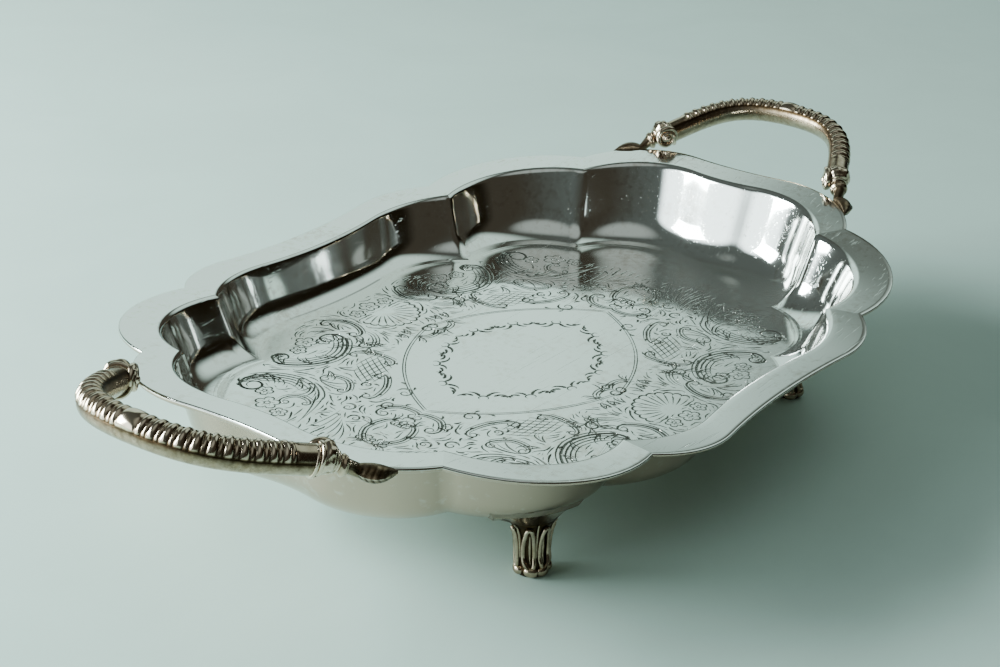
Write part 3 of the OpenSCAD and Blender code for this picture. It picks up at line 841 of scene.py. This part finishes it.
def engraved_field(border):
    """Vertices and faces of one engraved quarter, up to a border of points from the x to the y axis."""
    points, edges = [], []
    centres, halves = [], []
    limit = polygon_test(np.vstack([border * 0.985, [(-9, 100), (-9, -9), (150, -9)]]))
    for line, width, taper in engraved_quarter():
        keep = limit(line)
        if not keep.all():
            line = line[keep]
        if len(line) < 2:
            continue
        half = half_widths(len(line), width, taper)
        left = beside(line, 1.0) - line
        for chain in (line + left * half[:, None], line, line - left * half[:, None]):
            start = len(points)
            points += [Vector(p) for p in chain]
            edges += [(start + i, start + i + 1) for i in range(len(chain) - 1)]
        length = np.hypot(*np.diff(line, axis=0).T).sum()
        fine = np.linspace(0, len(line) - 1, round(length / 0.16) + 2)
        centres.append(np.column_stack([np.interp(fine, range(len(line)), line[:, k]) for k in (0, 1)]))
        sunk = half.copy()
        sunk[0] = sunk[-1] = 0
        halves.append(np.interp(fine, range(len(line)), sunk))
    frame_line = np.vstack([border, [(0, 0)]])
    start = len(points)
    points += [Vector(p) for p in frame_line]
    edges += [(start + i, start + (i + 1) % len(frame_line)) for i in range(len(frame_line))]
    verts, _, faces, *_ = delaunay_2d_cdt(points, edges, [], 0, 1e-4, False)
    flat = np.array([v[:] for v in verts])
    faces = np.array(faces)
    inside = polygon_test(frame_line)(flat[faces].mean(axis=1))
    faces = faces[inside]
    centres = np.vstack(centres)
    halves = np.concatenate(halves)
    tree = kdtree.KDTree(len(centres))
    for i, c in enumerate(centres):
        tree.insert((c[0], c[1], 0), i)
    tree.balance()
    depth = np.zeros(len(flat))
    for i, p in enumerate(flat):
        for _, k, d in tree.find_range((p[0], p[1], 0), 0.72):
            if d < halves[k]:
                depth[i] = max(depth[i], (halves[k] - d) * 2 * CUT_DEPTH)
    return flat, faces, np.minimum(depth, DEEPEST)


def build_tray():
    """The pressed sheet, with the engraved field let into its floor and mirrored to four quarters."""
    upper = section(0)
    under = section(SHEET)
    rolled = SHEET / 2
    rows = [(RUN + 1.6, -WELL)] + upper[::-1]
    rows += [(-FLANGE * k / 6, 0) for k in range(1, 6)]
    for k in range(7):
        a = math.pi * k / 6
        rows.append((rolled - FLANGE - rolled * math.sin(a), -rolled + rolled * math.cos(a)))
    rows += [(-FLANGE * k / 6, -SHEET) for k in range(5, 0, -1)]
    rows += under + [(RUN + 2, -WELL - SHEET), (RUN + 8, -WELL - SHEET)]
    bm = bmesh.new()
    # From the middle of the rolled edge round the under side, the sheet is marked for tarnish and a painted
    # shade under the tray, in the toned colour.
    toned_and_shaded = [[0.0 if k < len(upper) + 9 else 1.0] * AROUND for k in range(len(rows))]
    rings = skin(bm, [sheet_ring(*row) for row in rows], toned_and_shaded, caps=(False, True))
    for f in bm.faces:
        f.smooth = True
    top = len(upper) + 9
    for col in range(AROUND):
        if min(col % (2 * QUARTER), -col % (2 * QUARTER)) in CREASES:
            for ring_a, ring_b in zip(rings[top - 14:top + 16], rings[top - 13:top + 17]):
                bm.edges.get((ring_a[col], ring_b[col])).smooth = False
    border = sheet_ring(*rows[0])[: QUARTER + 1, :2]
    border[0, 1] = 0
    border[-1, 0] = 0
    flat, faces, depth = engraved_field(border)
    shell = bpy.data.meshes.new("engraved_field")
    verts, tris = [], []
    for k, (sx, sy) in enumerate(((1, 1), (-1, 1), (-1, -1), (1, -1))):
        verts.append(np.column_stack([flat[:, 0] * sx, flat[:, 1] * sy, FLOOR_Z - depth]) * MM)
        turned = faces if sx * sy > 0 else faces[:, ::-1]
        tris.append(turned + k * len(flat))
    shell.from_pydata(np.vstack(verts), [], np.vstack(tris).tolist())
    bm.from_mesh(shell)
    bpy.data.meshes.remove(shell)
    bmesh.ops.remove_doubles(bm, verts=bm.verts, dist=2e-6)
    bm.faces.ensure_lookup_table()
    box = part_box("tray_body")
    reach = max(abs(v.co.y) for v in bm.verts)
    limit = max(abs(box[0][1]), abs(box[1][1])) - 1e-5
    if reach > limit:
        bmesh.ops.scale(bm, vec=(1, limit / reach, 1), verts=bm.verts)
    reach = max(abs(v.co.x) for v in bm.verts)
    limit = max(abs(box[0][0]), abs(box[1][0])) - 1e-5
    if reach > limit:
        bmesh.ops.scale(bm, vec=(limit / reach, 1, 1), verts=bm.verts)
    tray = finished(bm, "tray_sheet", bright_silver, "bright_silver_plate", "tray_body")
    flags = np.array([abs(p.center[2] - FLOOR_Z * MM) > 0.36 * MM or p.normal[2] < 0.2
                      for p in tray.data.polygons])
    tray.data.polygons.foreach_set("use_smooth", flags)
    tray.data.update()


build_tray()

# ---------------------------------------------------------------- solder

for name in ("foot_solder", "handle_solder"):
    for obj in bpy.data.objects:
        if obj.name == name and obj.type == "MESH":
            if not obj.data.materials:
                obj.data.materials.append(solder_grey)
            for s in obj.material_slots:
                s.material = solder_grey

# ---------------------------------------------------------------- handles
# A loop bar on a tilted plane. Its ribbed face is one casting, which runs on into a scroll, a bead
# and a lance leaf against the rim. The plain back is the other casting.

BAR_TOP = (223.6, 81.4)
BAR_RUN = 30.4
BAR_SHOULDER = (209.6, 35.6)
BAR_END = (186.9, 45.6, 70.8)
TILT = math.atan2(BAR_TOP[1] - BAR_END[2], BAR_TOP[0] - BAR_END[0])
LOOP_NORMAL = np.array([-math.sin(TILT), 0, math.cos(TILT)])
HALF_WIDE = 5.4
HALF_THICK = 4.9
LEAN = math.radians(24)
SEAM_TOP = -10
SEAM_LOW = 111
FACE_SKIN = 0.3
OVERHANG = 0.5
PAIRS = 11
RIB = 0.9
BEAD_HALF = 4.2
PLAIN_END = 9.0


def bar_at(v):
    """Middle line of the loop on the +X side, v from -1 through 0 at the top to 1."""
    t = abs(v)
    a = 1 - t
    x = BAR_TOP[0] * (a ** 3 + 3 * t * a * a) + 3 * t * t * a * BAR_SHOULDER[0] + t ** 3 * BAR_END[0]
    y = 3 * t * a * a * BAR_RUN + 3 * t * t * a * BAR_SHOULDER[1] + t ** 3 * BAR_END[1]
    return np.array([x, math.copysign(y, v), BAR_TOP[1] - (BAR_TOP[0] - x) * math.tan(TILT)])


def bar_axes(v):
    """The broad and the wide direction of the bar's section."""
    along = unit(bar_at(min(1, v + 0.004)) - bar_at(max(-1, v - 0.004)))
    outward = np.cross(along, LOOP_NORMAL)
    broad = math.cos(LEAN) * outward + math.sin(LEAN) * LOOP_NORMAL
    wide = math.cos(LEAN) * LOOP_NORMAL - math.sin(LEAN) * outward
    return broad, wide


def bar_point(v, degrees, more, axes=None):
    broad, wide = axes or bar_axes(v)
    a = math.radians(degrees)
    return bar_at(v) + wide * (HALF_WIDE + more) * math.cos(a) + broad * (HALF_THICK + more) * math.sin(a)


walk = [0.0]
for k in range(1, 121):
    walk.append(walk[-1] + np.linalg.norm(bar_at(k / 120) - bar_at((k - 1) / 120)))
RIBBED = walk[-1] - PLAIN_END - BEAD_HALF
PITCH = RIBBED / PAIRS


def v_at(s):
    return float(np.interp(s, walk, np.linspace(0, 1, 121)))


def rib_height(s):
    """Height of the gadroon from 0 to 1 at a distance along the bar: bead, fat ribs and thin ribs."""
    if s < BEAD_HALF:
        return 1.25 * math.sqrt(max(0, 1 - (s / BEAD_HALF) ** 2))
    f = (s - BEAD_HALF) / PITCH
    if f > PAIRS:
        return 0
    f -= math.floor(f)
    if f < 0.62:
        return math.sin(math.pi * f / 0.62) ** 0.5
    return 0.62 * math.sin(math.pi * (f - 0.62) / 0.38) ** 0.5


FACE_CUTS = 22
SEAM_CUTS = 14
ROUND = FACE_CUTS + SEAM_CUTS


def face_loop(s, full=False):
    """One loop of the ribbed face and the amount of tarnish and painted shade at each of its points, most
    in the grooves and at the seams.
    """
    v = v_at(s)
    axes = bar_axes(v)
    p = bar_point(v, SEAM_TOP, 0, axes)
    q = bar_point(v, SEAM_LOW, 0, axes)
    ribbed = BEAD_HALF < s < BEAD_HALF + RIBBED
    loop, deep = [], []
    for i in range(FACE_CUTS + 1):
        f = i / FACE_CUTS
        slant = 1.1 * (f - 0.5) if s > BEAD_HALF + 1 else 0
        h = rib_height(s + slant) if s + slant < BEAD_HALF + RIBBED else 0
        swell = math.sin(math.pi * f) ** 0.45 if 0 < i < FACE_CUTS else 0
        if i in (0, FACE_CUTS):
            side = unit(p - q) * (1 if i == 0 else -1)
            loop.append((p if i == 0 else q) + side * OVERHANG * (0.35 + 0.65 * min(1, h)))
            deep.append(0.95)
            continue
        groove = 0.55 * (1 - min(1, h)) if ribbed else 0
        more = FACE_SKIN + (RIB * h - groove) * swell
        loop.append(bar_point(v, SEAM_TOP + (SEAM_LOW - SEAM_TOP) * f, more, axes))
        deep.append(max(0, 1 - 1.35 * h) * (0.95 if ribbed else 0.35) + 0.5 * (1 - swell))
    for i in range(1, SEAM_CUTS):
        f = i / SEAM_CUTS
        if full:
            loop.append(bar_point(v, SEAM_LOW + (360 + SEAM_TOP - SEAM_LOW) * f, FACE_SKIN, axes))
        else:
            loop.append(loop[FACE_CUTS] * (1 - f) + loop[0] * f)
        deep.append(0.6)
    return loop, deep


BEAD_MID = np.array([178.9, 51.4, 67.6])
BAR_STOP = bar_at(1)
END_WAY = unit(BEAD_MID - BAR_STOP)
END_SIDE = unit(np.cross(END_WAY, (0, 0, 1)))
END_UP = np.cross(END_SIDE, END_WAY)
# Place along the way to the bead, half width, half height and depth of the leaf folds.
SWELLS = [(0.0, 5.4, 5.6, 0.0), (0.14, 5.4, 5.6, 0.02), (0.32, 6.1, 6.2, 0.12), (0.5, 5.8, 6.0, 0.14),
          (0.66, 4.7, 4.8, 0.10), (0.78, 2.8, 2.8, 0.0), (0.83, 3.4, 3.4, 0.0), (0.95, 4.1, 4.1, 0.0),
          (1.06, 3.6, 3.6, 0.0), (1.12, 2.7, 2.7, 0.0)]


def end_point(k):
    lift = 2.0 * math.sin(math.pi * min(1, k / 0.9))
    return BAR_STOP + (BEAD_MID - BAR_STOP) * k + np.array([0, 0, lift])


def loop_angles(even):
    """Angles round a loop, from the face's own spacing to an even one."""
    face = np.linspace(SEAM_TOP, SEAM_LOW, FACE_CUTS + 1)
    back = np.linspace(SEAM_LOW, 360 + SEAM_TOP, SEAM_CUTS + 1)[1:-1]
    level = SEAM_TOP + 360 * np.arange(ROUND) / ROUND
    return np.concatenate([face, back]) * (1 - even) + level * even


def scroll_loop(k):
    w, h, fold = ease(SWELLS, k)
    angles = loop_angles(min(1, k / 0.4))
    loop, deep = [], []
    for a in np.radians(angles):
        leafy = abs(math.cos(3 * a + 2.2 * k)) ** 0.6
        r = 1 - fold * (1 - leafy)
        loop.append(end_point(k) + END_UP * h * r * math.cos(a) + END_SIDE * w * r * math.sin(a))
        # The folds and the narrow neck take tarnish and painted shade.
        pinch = max(0, 1 - min(w, 5.5) / 5.5)
        deep.append(min(1, 5.5 * fold * (1 - leafy) + 1.1 * pinch))
    return loop, deep


LEAF_FIRST = 7.1
LEAF_LAST = 8.8


def leaf_loop(t):
    """Loop of the lance leaf that stands against the rim's outer edge, t from 0 to 1."""
    k = LEAF_FIRST + (LEAF_LAST - LEAF_FIRST) * t
    column = HOLLOW + (k - 3) * LOBE / 8
    here = sheet_at(column, -FLANGE, -SHEET / 2)
    ahead = sheet_at(column + 0.5, -FLANGE, -SHEET / 2) - sheet_at(column - 0.5, -FLANGE, -SHEET / 2)
    out = unit(np.array([ahead[1], -ahead[0], 0]))
    g = math.sin(math.pi * (0.25 + 0.72 * t))
    w = 6.2 * g + 0.3
    h = 3.0 * g + 0.4
    loop, deep = [], []
    for a in np.radians(loop_angles(1)):
        swing = math.sin(a)
        rib = math.exp(-(math.cos(a) / 0.2) ** 2) if swing > 0 else 0
        vein = (0.5 + 0.5 * math.cos(40 * t - 5 * abs(math.cos(a)))) ** 3
        face = max(0, swing) * g
        more = face * (0.45 * rib - 0.22 * vein * (1 - rib) - 0.35 * (1 - rib))
        loop.append(here + out * (w * max(0, 0.42 + 0.62 * swing) + more)
                    + np.array([0, 0, h * math.cos(a)]))
        # The veins and the leaf's sides off the midrib take tarnish and painted shade.
        deep.append(min(1, 0.35 + 0.3 * face * vein + 0.25 * (1 - rib)))
    return loop, deep


def add_volute(bm, centre, across, radius, thick, turns, start, hand):
    """A spiral roll that stands on the side of the scroll, with a small bead at its eye."""
    loops, deep = [], []
    count = 46
    for i in range(count + 1):
        t = i / count
        a = math.radians(start) + hand * 2 * math.pi * turns * t
        r = radius * (1 - t) ** 0.85 + 0.9
        middle = centre + END_WAY * r * math.cos(a) + END_UP * r * math.sin(a) + across * (0.2 + 0.9 * t)
        ray = END_WAY * math.cos(a) + END_UP * math.sin(a)
        size = thick * (1 - 0.45 * t) * min(1, 0.35 + 6 * t) * (0.55 if i == count else 1)
        loop = [middle + size * (ray * math.cos(b) + across * 1.25 * math.sin(b))
                for b in round_angles(12)]
        loops.append(loop)
        # The side of the roll toward the scroll takes tarnish and painted shade.
        deep.append([0.75 * max(0, -math.sin(b)) for b in round_angles(12)])
    skin(bm, loops, deep)
    eye = []
    for t in np.linspace(-80, 80, 9):
        size = 1.7 * math.cos(math.radians(t))
        middle = centre + across * (1.3 + 1.7 * math.sin(math.radians(t)))
        eye.append([middle + size * (END_WAY * math.cos(b) + END_UP * math.sin(b))
                    for b in round_angles(16)])
    skin(bm, eye, [[0.0] * 16] * 9)


def add_collar(bm, k, wide, high, thick):
    """A round moulding that runs about the scroll at a place along it."""
    loops, deep = [], []
    for b in round_angles(10):
        lift = thick * math.cos(b) - 0.35 * thick
        middle = end_point(k) + END_WAY * thick * math.sin(b)
        loops.append([middle + END_UP * (high + lift) * math.cos(a) + END_SIDE * (wide + lift) * math.sin(a)
                      for a in round_angles(32)])
        # The inner side of the moulding, where it meets the scroll, takes tarnish and painted shade.
        deep.append([max(0, -math.cos(b))] * 32)
    rings = skin(bm, loops, deep, caps=(False, False))
    close = [bm.edges.get((r[i], r[(i + 1) % 32])) for r in (rings[0], rings[-1]) for i in range(32)]
    bmesh.ops.bridge_loops(bm, edges=close)


def mirrored(bm, x, y):
    """Mirrors a mesh made for the +X, +Y corner to another corner."""
    bmesh.ops.scale(bm, vec=(x, y, 1), verts=bm.verts)


def build_ribbed_face(side, word):
    """The ribbed casting of one handle, with its scrolls, beads and leaves at both ends."""
    bm = bmesh.new()
    rows = [face_loop(BEAD_HALF * i / 8) for i in range(8)]
    rows += [face_loop(BEAD_HALF + PITCH * i / 16) for i in range(PAIRS * 16 + 1)]
    rows += [face_loop(BEAD_HALF + RIBBED + PLAIN_END * i / 8) for i in range(1, 9)]
    last, deep = face_loop(walk[-1], True)
    rows.append((last, deep))
    onward = scroll_loop(0.1)
    for f in (0.25, 0.5, 0.75):
        rows.append(([p * (1 - f) + q * f for p, q in zip(last, onward[0])], onward[1]))
    rows += [scroll_loop(k) for k in np.linspace(0.1, 1.12, 52)]
    leaf = [leaf_loop(t) for t in np.linspace(0, 1, 40)]
    tail = rows[-1]
    for f in (0.33, 0.66):
        rows.append(([p * (1 - f) + q * f for p, q in zip(tail[0], leaf[0][0])], tail[1]))
    rows += leaf
    skin(bm, [r[0] for r in rows], [r[1] for r in rows], caps=(False, True))
    centre = end_point(0.40) - END_UP * 1.2 - END_SIDE * 4.7
    add_volute(bm, centre, -END_SIDE, 4.5, 1.35, 1.8, 200, -1)
    for k, wide, high, thick in ((-0.06, 5.5, 5.7, 0.7), (0.14, 5.4, 5.7, 0.9), (0.74, 3.5, 3.6, 0.6)):
        add_collar(bm, k, wide, high, thick)
    geometry = bm.verts[:] + bm.edges[:] + bm.faces[:]
    bmesh.ops.mirror(bm, geom=geometry, axis="Y", merge_dist=2e-6)
    mirrored(bm, side, 1)
    keep_inside(bm, f"handle_{word}_face")
    face = finished(bm, f"ribbed_bar_{word}", toned_and_shaded_silver, "toned_silver_plate", f"handle_{word}_face")
    mark_cast_edges(face)


def build_plain_back(side, word):
    """The plain casting behind the ribbed one."""
    bm = bmesh.new()
    loops, deep = [], []
    for v in np.linspace(0, 1, 60):
        axes = bar_axes(v)
        loop = [bar_point(v, a, 0.0, axes) for a in np.linspace(SEAM_LOW, 360 + SEAM_TOP, 29)]
        chord = [loop[-1] * (1 - f) + loop[0] * f for f in np.linspace(0, 1, 9)[1:-1]]
        loops.append(loop + chord)
        # Tarnish and painted shade along the seams with the ribbed face, and most on the flat side against
        # it.
        edge = [math.exp(-i / 1.6) + math.exp(-(28 - i) / 1.6) for i in range(29)]
        deep.append([0.42 + 0.6 * e for e in edge] + [0.9] * 7)
    skin(bm, loops, deep, caps=(False, True))
    geometry = bm.verts[:] + bm.edges[:] + bm.faces[:]
    bmesh.ops.mirror(bm, geom=geometry, axis="Y", merge_dist=2e-6)
    mirrored(bm, side, 1)
    keep_inside(bm, f"handle_{word}_back")
    back = finished(bm, f"plain_bar_{word}", toned_and_shaded_silver, "toned_silver_plate", f"handle_{word}_back")
    mark_cast_edges(back)


def keep_inside(bm, name):
    """Holds the points of a piece inside the box of the node that it stands for."""
    low, high = (np.array(c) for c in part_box(name))
    for v in bm.verts:
        v.co = Vector(np.clip(np.array(v.co), low, high))


def mark_cast_edges(obj):
    obj.data.set_sharp_from_angle(angle=math.radians(62))


for side, word in ((1, "right"), (-1, "left")):
    build_ribbed_face(side, word)
    build_plain_back(side, word)

# ---------------------------------------------------------------- feet
# A bracket shaped to the underside of the well, a fluted leaf shank and a toed sole.

FOOT = np.array([98.6, 75.7])
FOOT_AXIS = unit(np.array([0.55, 0.835]))
FOOT_SIDE = np.array([FOOT_AXIS[1], -FOOT_AXIS[0]])
# Height, width, depth and lean out of the foot, with the depth of its flutes.
SHANK = [(0.0, 10.8, 8.8, 0.6, 0.1), (0.8, 12.0, 9.9, 0.6, 0.2), (2.2, 12.4, 10.2, 0.6, 0.3),
         (4.5, 12.0, 9.4, 0.3, 0.5), (9.0, 11.6, 8.0, -0.6, 0.7), (13.0, 12.0, 7.8, -0.7, 0.7),
         (16.0, 12.8, 8.0, -0.6, 0.7), (19.0, 14.6, 8.8, -0.6, 0.5), (21.5, 18.4, 10.2, -0.6, 0.2)]
SHANK_TOP = SHANK[-1][0]
FLUTES = 6
FOOT_AROUND = 100


def bracket_point(u, v, depth):
    """Point of the bracket's outline on the sheet's under side, u and v from -1 to 1."""
    column = HOLLOW + LOBE + CORNER / 2 - 4 * u
    r = 2 - 2 * v
    radius = FILLET + depth
    if r <= 3:
        a = math.radians(np.interp(r, (0, 1, 2, 3), (46.67, 35, 23.33, 0)))
        return sheet_at(column, RUN - radius * math.sin(a), FILLET - WELL - radius * math.cos(a))
    return sheet_at(column, RUN + 5.5 * (r - 3), -WELL - depth)


def square_uv(a):
    c, s = math.cos(a), math.sin(a)
    m = max(abs(c), abs(s))
    return c / m, s / m


def flute(a):
    """Height of the leaf lobes round the shank, from 0 in the grooves to 1."""
    return abs(math.cos(FLUTES * a / 2)) ** 0.6


def shank_loop(z):
    wide, thick, lean, amount = ease(SHANK, z)
    loop, deep = [], []
    for a in round_angles(FOOT_AROUND):
        u, v = square_uv(a)
        across = u * math.sqrt(1 - v * v / 2)
        outward = v * math.sqrt(1 - u * u / 2)
        f = flute(a)
        more = amount * (f - 0.72)
        ray = FOOT_SIDE * math.cos(a) + FOOT_AXIS * math.sin(a)
        p = FOOT + FOOT_AXIS * (lean + thick / 2 * outward) + FOOT_SIDE * wide / 2 * across + ray * more
        loop.append(np.array([p[0], p[1], z]))
        # Tarnish and painted shade over the whole shank, most in the grooves between the flutes.
        deep.append(0.85 + amount * (0.5 + 0.6 * (1 - f)))
    return loop, deep


def shank_point(a, z, lift):
    """Point over the shank's surface at an angle and a height, and the way out from it."""
    wide, thick, lean, _ = ease(SHANK, z)
    u, v = square_uv(a)
    across = u * math.sqrt(1 - v * v / 2)
    outward = v * math.sqrt(1 - u * u / 2)
    ray = FOOT_SIDE * math.cos(a) + FOOT_AXIS * math.sin(a)
    p = FOOT + FOOT_AXIS * (lean + thick / 2 * outward) + FOOT_SIDE * wide / 2 * across + ray * lift
    return np.array([p[0], p[1], z]), np.array([ray[0], ray[1], 0])


def add_vein(bm, path, thick, taper=0.0):
    """A raised round line over the shank along a path of (angle, height, lift)."""
    here = [shank_point(*step) for step in path]
    loops, deep = [], []
    for i, (p, ray) in enumerate(here):
        before, after = here[max(0, i - 1)][0], here[min(len(here) - 1, i + 1)][0]
        side = np.cross(unit(after - before), ray)
        t = i / (len(here) - 1)
        size = thick * (1 - taper * abs(2 * t - 1) ** 2)
        loops.append([p + size * (ray * math.cos(b) + unit(side) * math.sin(b))
                      for b in round_angles(10)])
        # The side of each line that meets the shank takes tarnish and painted shade.
        deep.append([0.4 + 0.8 * max(0, -math.cos(b)) for b in round_angles(10)])
    skin(bm, loops, deep)


def add_foot_leaves(bm):
    """Long looped leaves that stand round the shank, a line between each two, and a toe under each."""
    for k in range(FLUTES):
        middle = math.pi / FLUTES * (2 * k + 1) + math.pi / 2
        path = []
        for t in np.linspace(0, 2 * math.pi, 45):
            z = 11.4 - 8.0 * math.cos(t)
            spread = 0.34 * abs(math.sin(t)) ** 0.8 * (1 if math.sin(t) > 0 else -1)
            path.append((middle + spread * (1.2 - 0.03 * z), z, 0.3 + 0.5 * math.sin(t / 2)))
        add_vein(bm, path, 0.85)
        add_vein(bm, [(middle, z, 0.25) for z in np.linspace(5.6, 16.5, 16)], 0.62, 0.85)
        gap = middle + math.pi / FLUTES
        add_vein(bm, [(gap, z, 0.15) for z in np.linspace(7.5, 21.4, 18)], 0.6, 0.5)
        add_toe(bm, middle)


def add_toe(bm, a):
    centre, ray = shank_point(a, 2.4, -0.5)
    side = np.cross(ray, (0, 0, 1))
    loops = []
    for t in np.linspace(-82, 82, 11):
        r = math.cos(math.radians(t))
        c = centre + ray * 1.9 * math.sin(math.radians(t))
        loops.append([c + r * (side * 2.9 * math.cos(b) + np.array([0, 0, 2.2 * math.sin(b)]))
                      for b in round_angles(20)])
    # The toes take a middle amount of tarnish and painted shade.
    skin(bm, loops, [[0.38] * 20] * 11)


def build_foot(x, y, word):
    """One foot: the bracket with its seat, the flared shoulder, the shank and its leaves."""
    bm = bmesh.new()
    angles = round_angles(FOOT_AROUND)
    buried = [bracket_point(*square_uv(a), SHEET - 0.5) for a in angles]
    seat = [bracket_point(*square_uv(a), SHEET) for a in angles]
    edge = [p - (0, 0, 1.3) for p in seat]
    shoulder, _ = shank_loop(SHANK_TOP)
    rows = []
    # The bracket takes tarnish and painted shade, and the flare takes more toward the shank and between the
    # flutes.
    for size in (0.04, 0.25, 0.5, 0.75):
        inner = [bracket_point(*(size * c for c in square_uv(a)), SHEET - 0.5) for a in angles]
        rows.append((inner, [0.6] * FOOT_AROUND))
    rows += [(buried, [0.6] * FOOT_AROUND), (seat, [0.6] * FOOT_AROUND)]
    rows.append(([p * 0.985 + s * 0.015 for p, s in zip(edge, shoulder)], [0.35] * FOOT_AROUND))
    for f in np.linspace(0.05, 0.95, 14):
        inward = f ** 0.62
        loop = []
        for k, (p, s) in enumerate(zip(edge, shoulder)):
            q = p * (1 - inward) + s * inward
            q[2] = (p[2] - 0.3) * (1 - f) + s[2] * f
            lobe = flute(angles[k])
            q[2] -= 0.9 * (lobe - 0.6) * math.sin(math.pi * f)
            loop.append(q)
        rows.append((loop, [0.25 + 0.4 * f + 0.8 * (1 - flute(a)) * (0.3 + f) for a in angles]))
    rows += [shank_loop(z) for z in np.linspace(SHANK_TOP, 0, 62)]
    skin(bm, [r[0] for r in rows], [r[1] for r in rows])
    add_foot_leaves(bm)
    mirrored(bm, x, y)
    keep_inside(bm, f"foot_{word}")
    foot = finished(bm, f"leaf_foot_{word}", toned_and_shaded_silver, "toned_silver_plate", f"foot_{word}")
    mark_cast_edges(foot)


build_foot(1, 1, "back_right")
build_foot(-1, 1, "back_left")
build_foot(1, -1, "front_right")
build_foot(-1, -1, "front_left")

# ---------------------------------------------------------------- stage, light and camera


def build_stage():
    """Pale painted board with faint rubbed marks, under the feet."""
    bm = bmesh.new()
    bmesh.ops.create_grid(bm, x_segments=1, y_segments=1, size=6)
    mesh = bpy.data.meshes.new("board")
    bm.to_mesh(mesh)
    bm.free()
    board = bpy.data.objects.new("board", mesh)
    bpy.context.scene.collection.objects.link(board)
    material = bpy.data.materials.new("pale_board")
    material.use_nodes = True
    tree = material.node_tree
    shader = tree.nodes["Principled BSDF"]
    coord = node(tree, "ShaderNodeTexCoord")
    rub = node(tree, "ShaderNodeTexNoise", Scale=9.0, Detail=8.0, Roughness=0.65, Distortion=0.6)
    tree.links.new(coord.outputs["Object"], rub.inputs["Vector"])
    fade = node(tree, "ShaderNodeMapRange", From_Min=0.35, From_Max=0.75)
    tree.links.new(rub.outputs["Fac"], fade.inputs["Value"])
    tone = node(tree, "ShaderNodeMix", data_type="RGBA")
    tone.inputs["A"].default_value = STAGE_COLOUR
    tone.inputs["B"].default_value = tuple(0.93 * c for c in STAGE_COLOUR[:3]) + (1,)
    tree.links.new(fade.outputs["Result"], tone.inputs["Factor"])
    tree.links.new(tone.outputs["Result"], shader.inputs["Base Color"])
    shader.inputs["Roughness"].default_value = 0.55
    mesh.materials.append(material)


def build_room():
    """World light by direction: a dim room with soft bright patches and one dark one."""
    world = bpy.data.worlds.new("room")
    bpy.context.scene.world = world
    world.use_nodes = True
    tree = world.node_tree
    link = tree.links.new
    ground = tree.nodes["Background"]
    coord = node(tree, "ShaderNodeTexCoord")

    def lobe(direction, first, last):
        dot = node(tree, "ShaderNodeVectorMath", operation="DOT_PRODUCT")
        link(coord.outputs["Generated"], dot.inputs[0])
        dot.inputs[1].default_value = Vector(direction).normalized()
        part = node(tree, "ShaderNodeMapRange", From_Min=first, From_Max=last,
                    interpolation_type="SMOOTHSTEP")
        link(dot.outputs["Value"], part.inputs["Value"])
        return part.outputs["Result"]

    # Way to each patch, the cosines at which it fades in and is full, and its colour.
    layers = (((0.72, -0.12, 0.68), 0.86, 0.97, (0.74, 0.97, 0.88)),
              ((0.62, 0.70, 0.36), 0.905, 0.975, (0.98, 1.34, 1.22)),
              ((-0.30, -0.20, 0.93), 0.84, 0.97, (0.40, 0.46, 0.43)),
              ((0.74, -0.66, -0.02), 0.70, 0.89, (0.010, 0.008, 0.004)),
              ((-0.80, 0.55, 0.16), 0.86, 0.95, (3.6, 4.3, 4.3)))
    base = node(tree, "ShaderNodeMix", data_type="RGBA")
    base.inputs["A"].default_value = (0.05, 0.045, 0.033, 1)
    base.inputs["B"].default_value = (0.10, 0.12, 0.11, 1)
    link(lobe((-0.6, 0.6, 0.5), -0.2, 0.8), base.inputs["Factor"])
    colour = base.outputs["Result"]
    for direction, first, last, shade in layers:
        mixed = node(tree, "ShaderNodeMix", data_type="RGBA")
        link(lobe(direction, first, last), mixed.inputs["Factor"])
        link(colour, mixed.inputs["A"])
        mixed.inputs["B"].default_value = (*shade, 1)
        colour = mixed.outputs["Result"]
    link(colour, ground.inputs["Color"])
    ground.inputs["Strength"].default_value = 0.9


def add_light(name, place, aim, size, power, colour=(1, 1, 1)):
    data = bpy.data.lights.new(name, "AREA")
    data.shape = "RECTANGLE"
    data.size, data.size_y = size
    data.energy = power
    data.color = colour
    lamp = bpy.data.objects.new(name, data)
    lamp.location = place
    lamp.rotation_euler = (Vector(aim) - Vector(place)).to_track_quat("-Z", "Y").to_euler()
    bpy.context.scene.collection.objects.link(lamp)
    return lamp


def build_camera():
    """Camera before and above the left end, looking down at the tray."""
    data = bpy.data.cameras.new("camera")
    data.lens = 74.24
    data.sensor_width = 36
    camera = bpy.data.objects.new("camera", data)
    right = Vector((0.58309, -0.81116, 0.04493))
    up = Vector((0.30752, 0.27157, 0.91197))
    back = Vector((-0.75196, -0.51794, 0.40780))
    turn = Matrix((right, up, back)).transposed().to_4x4()
    camera.matrix_world = Matrix.Translation((-0.65009, -0.43632, 0.38913)) @ turn
    bpy.context.scene.collection.objects.link(camera)
    bpy.context.scene.camera = camera


build_stage()
build_room()
add_light("window", (-0.72, 1.04, 0.50), (-0.1, 0, 0), (0.8, 0.6), 62, (0.84, 1.0, 0.975))
build_camera()
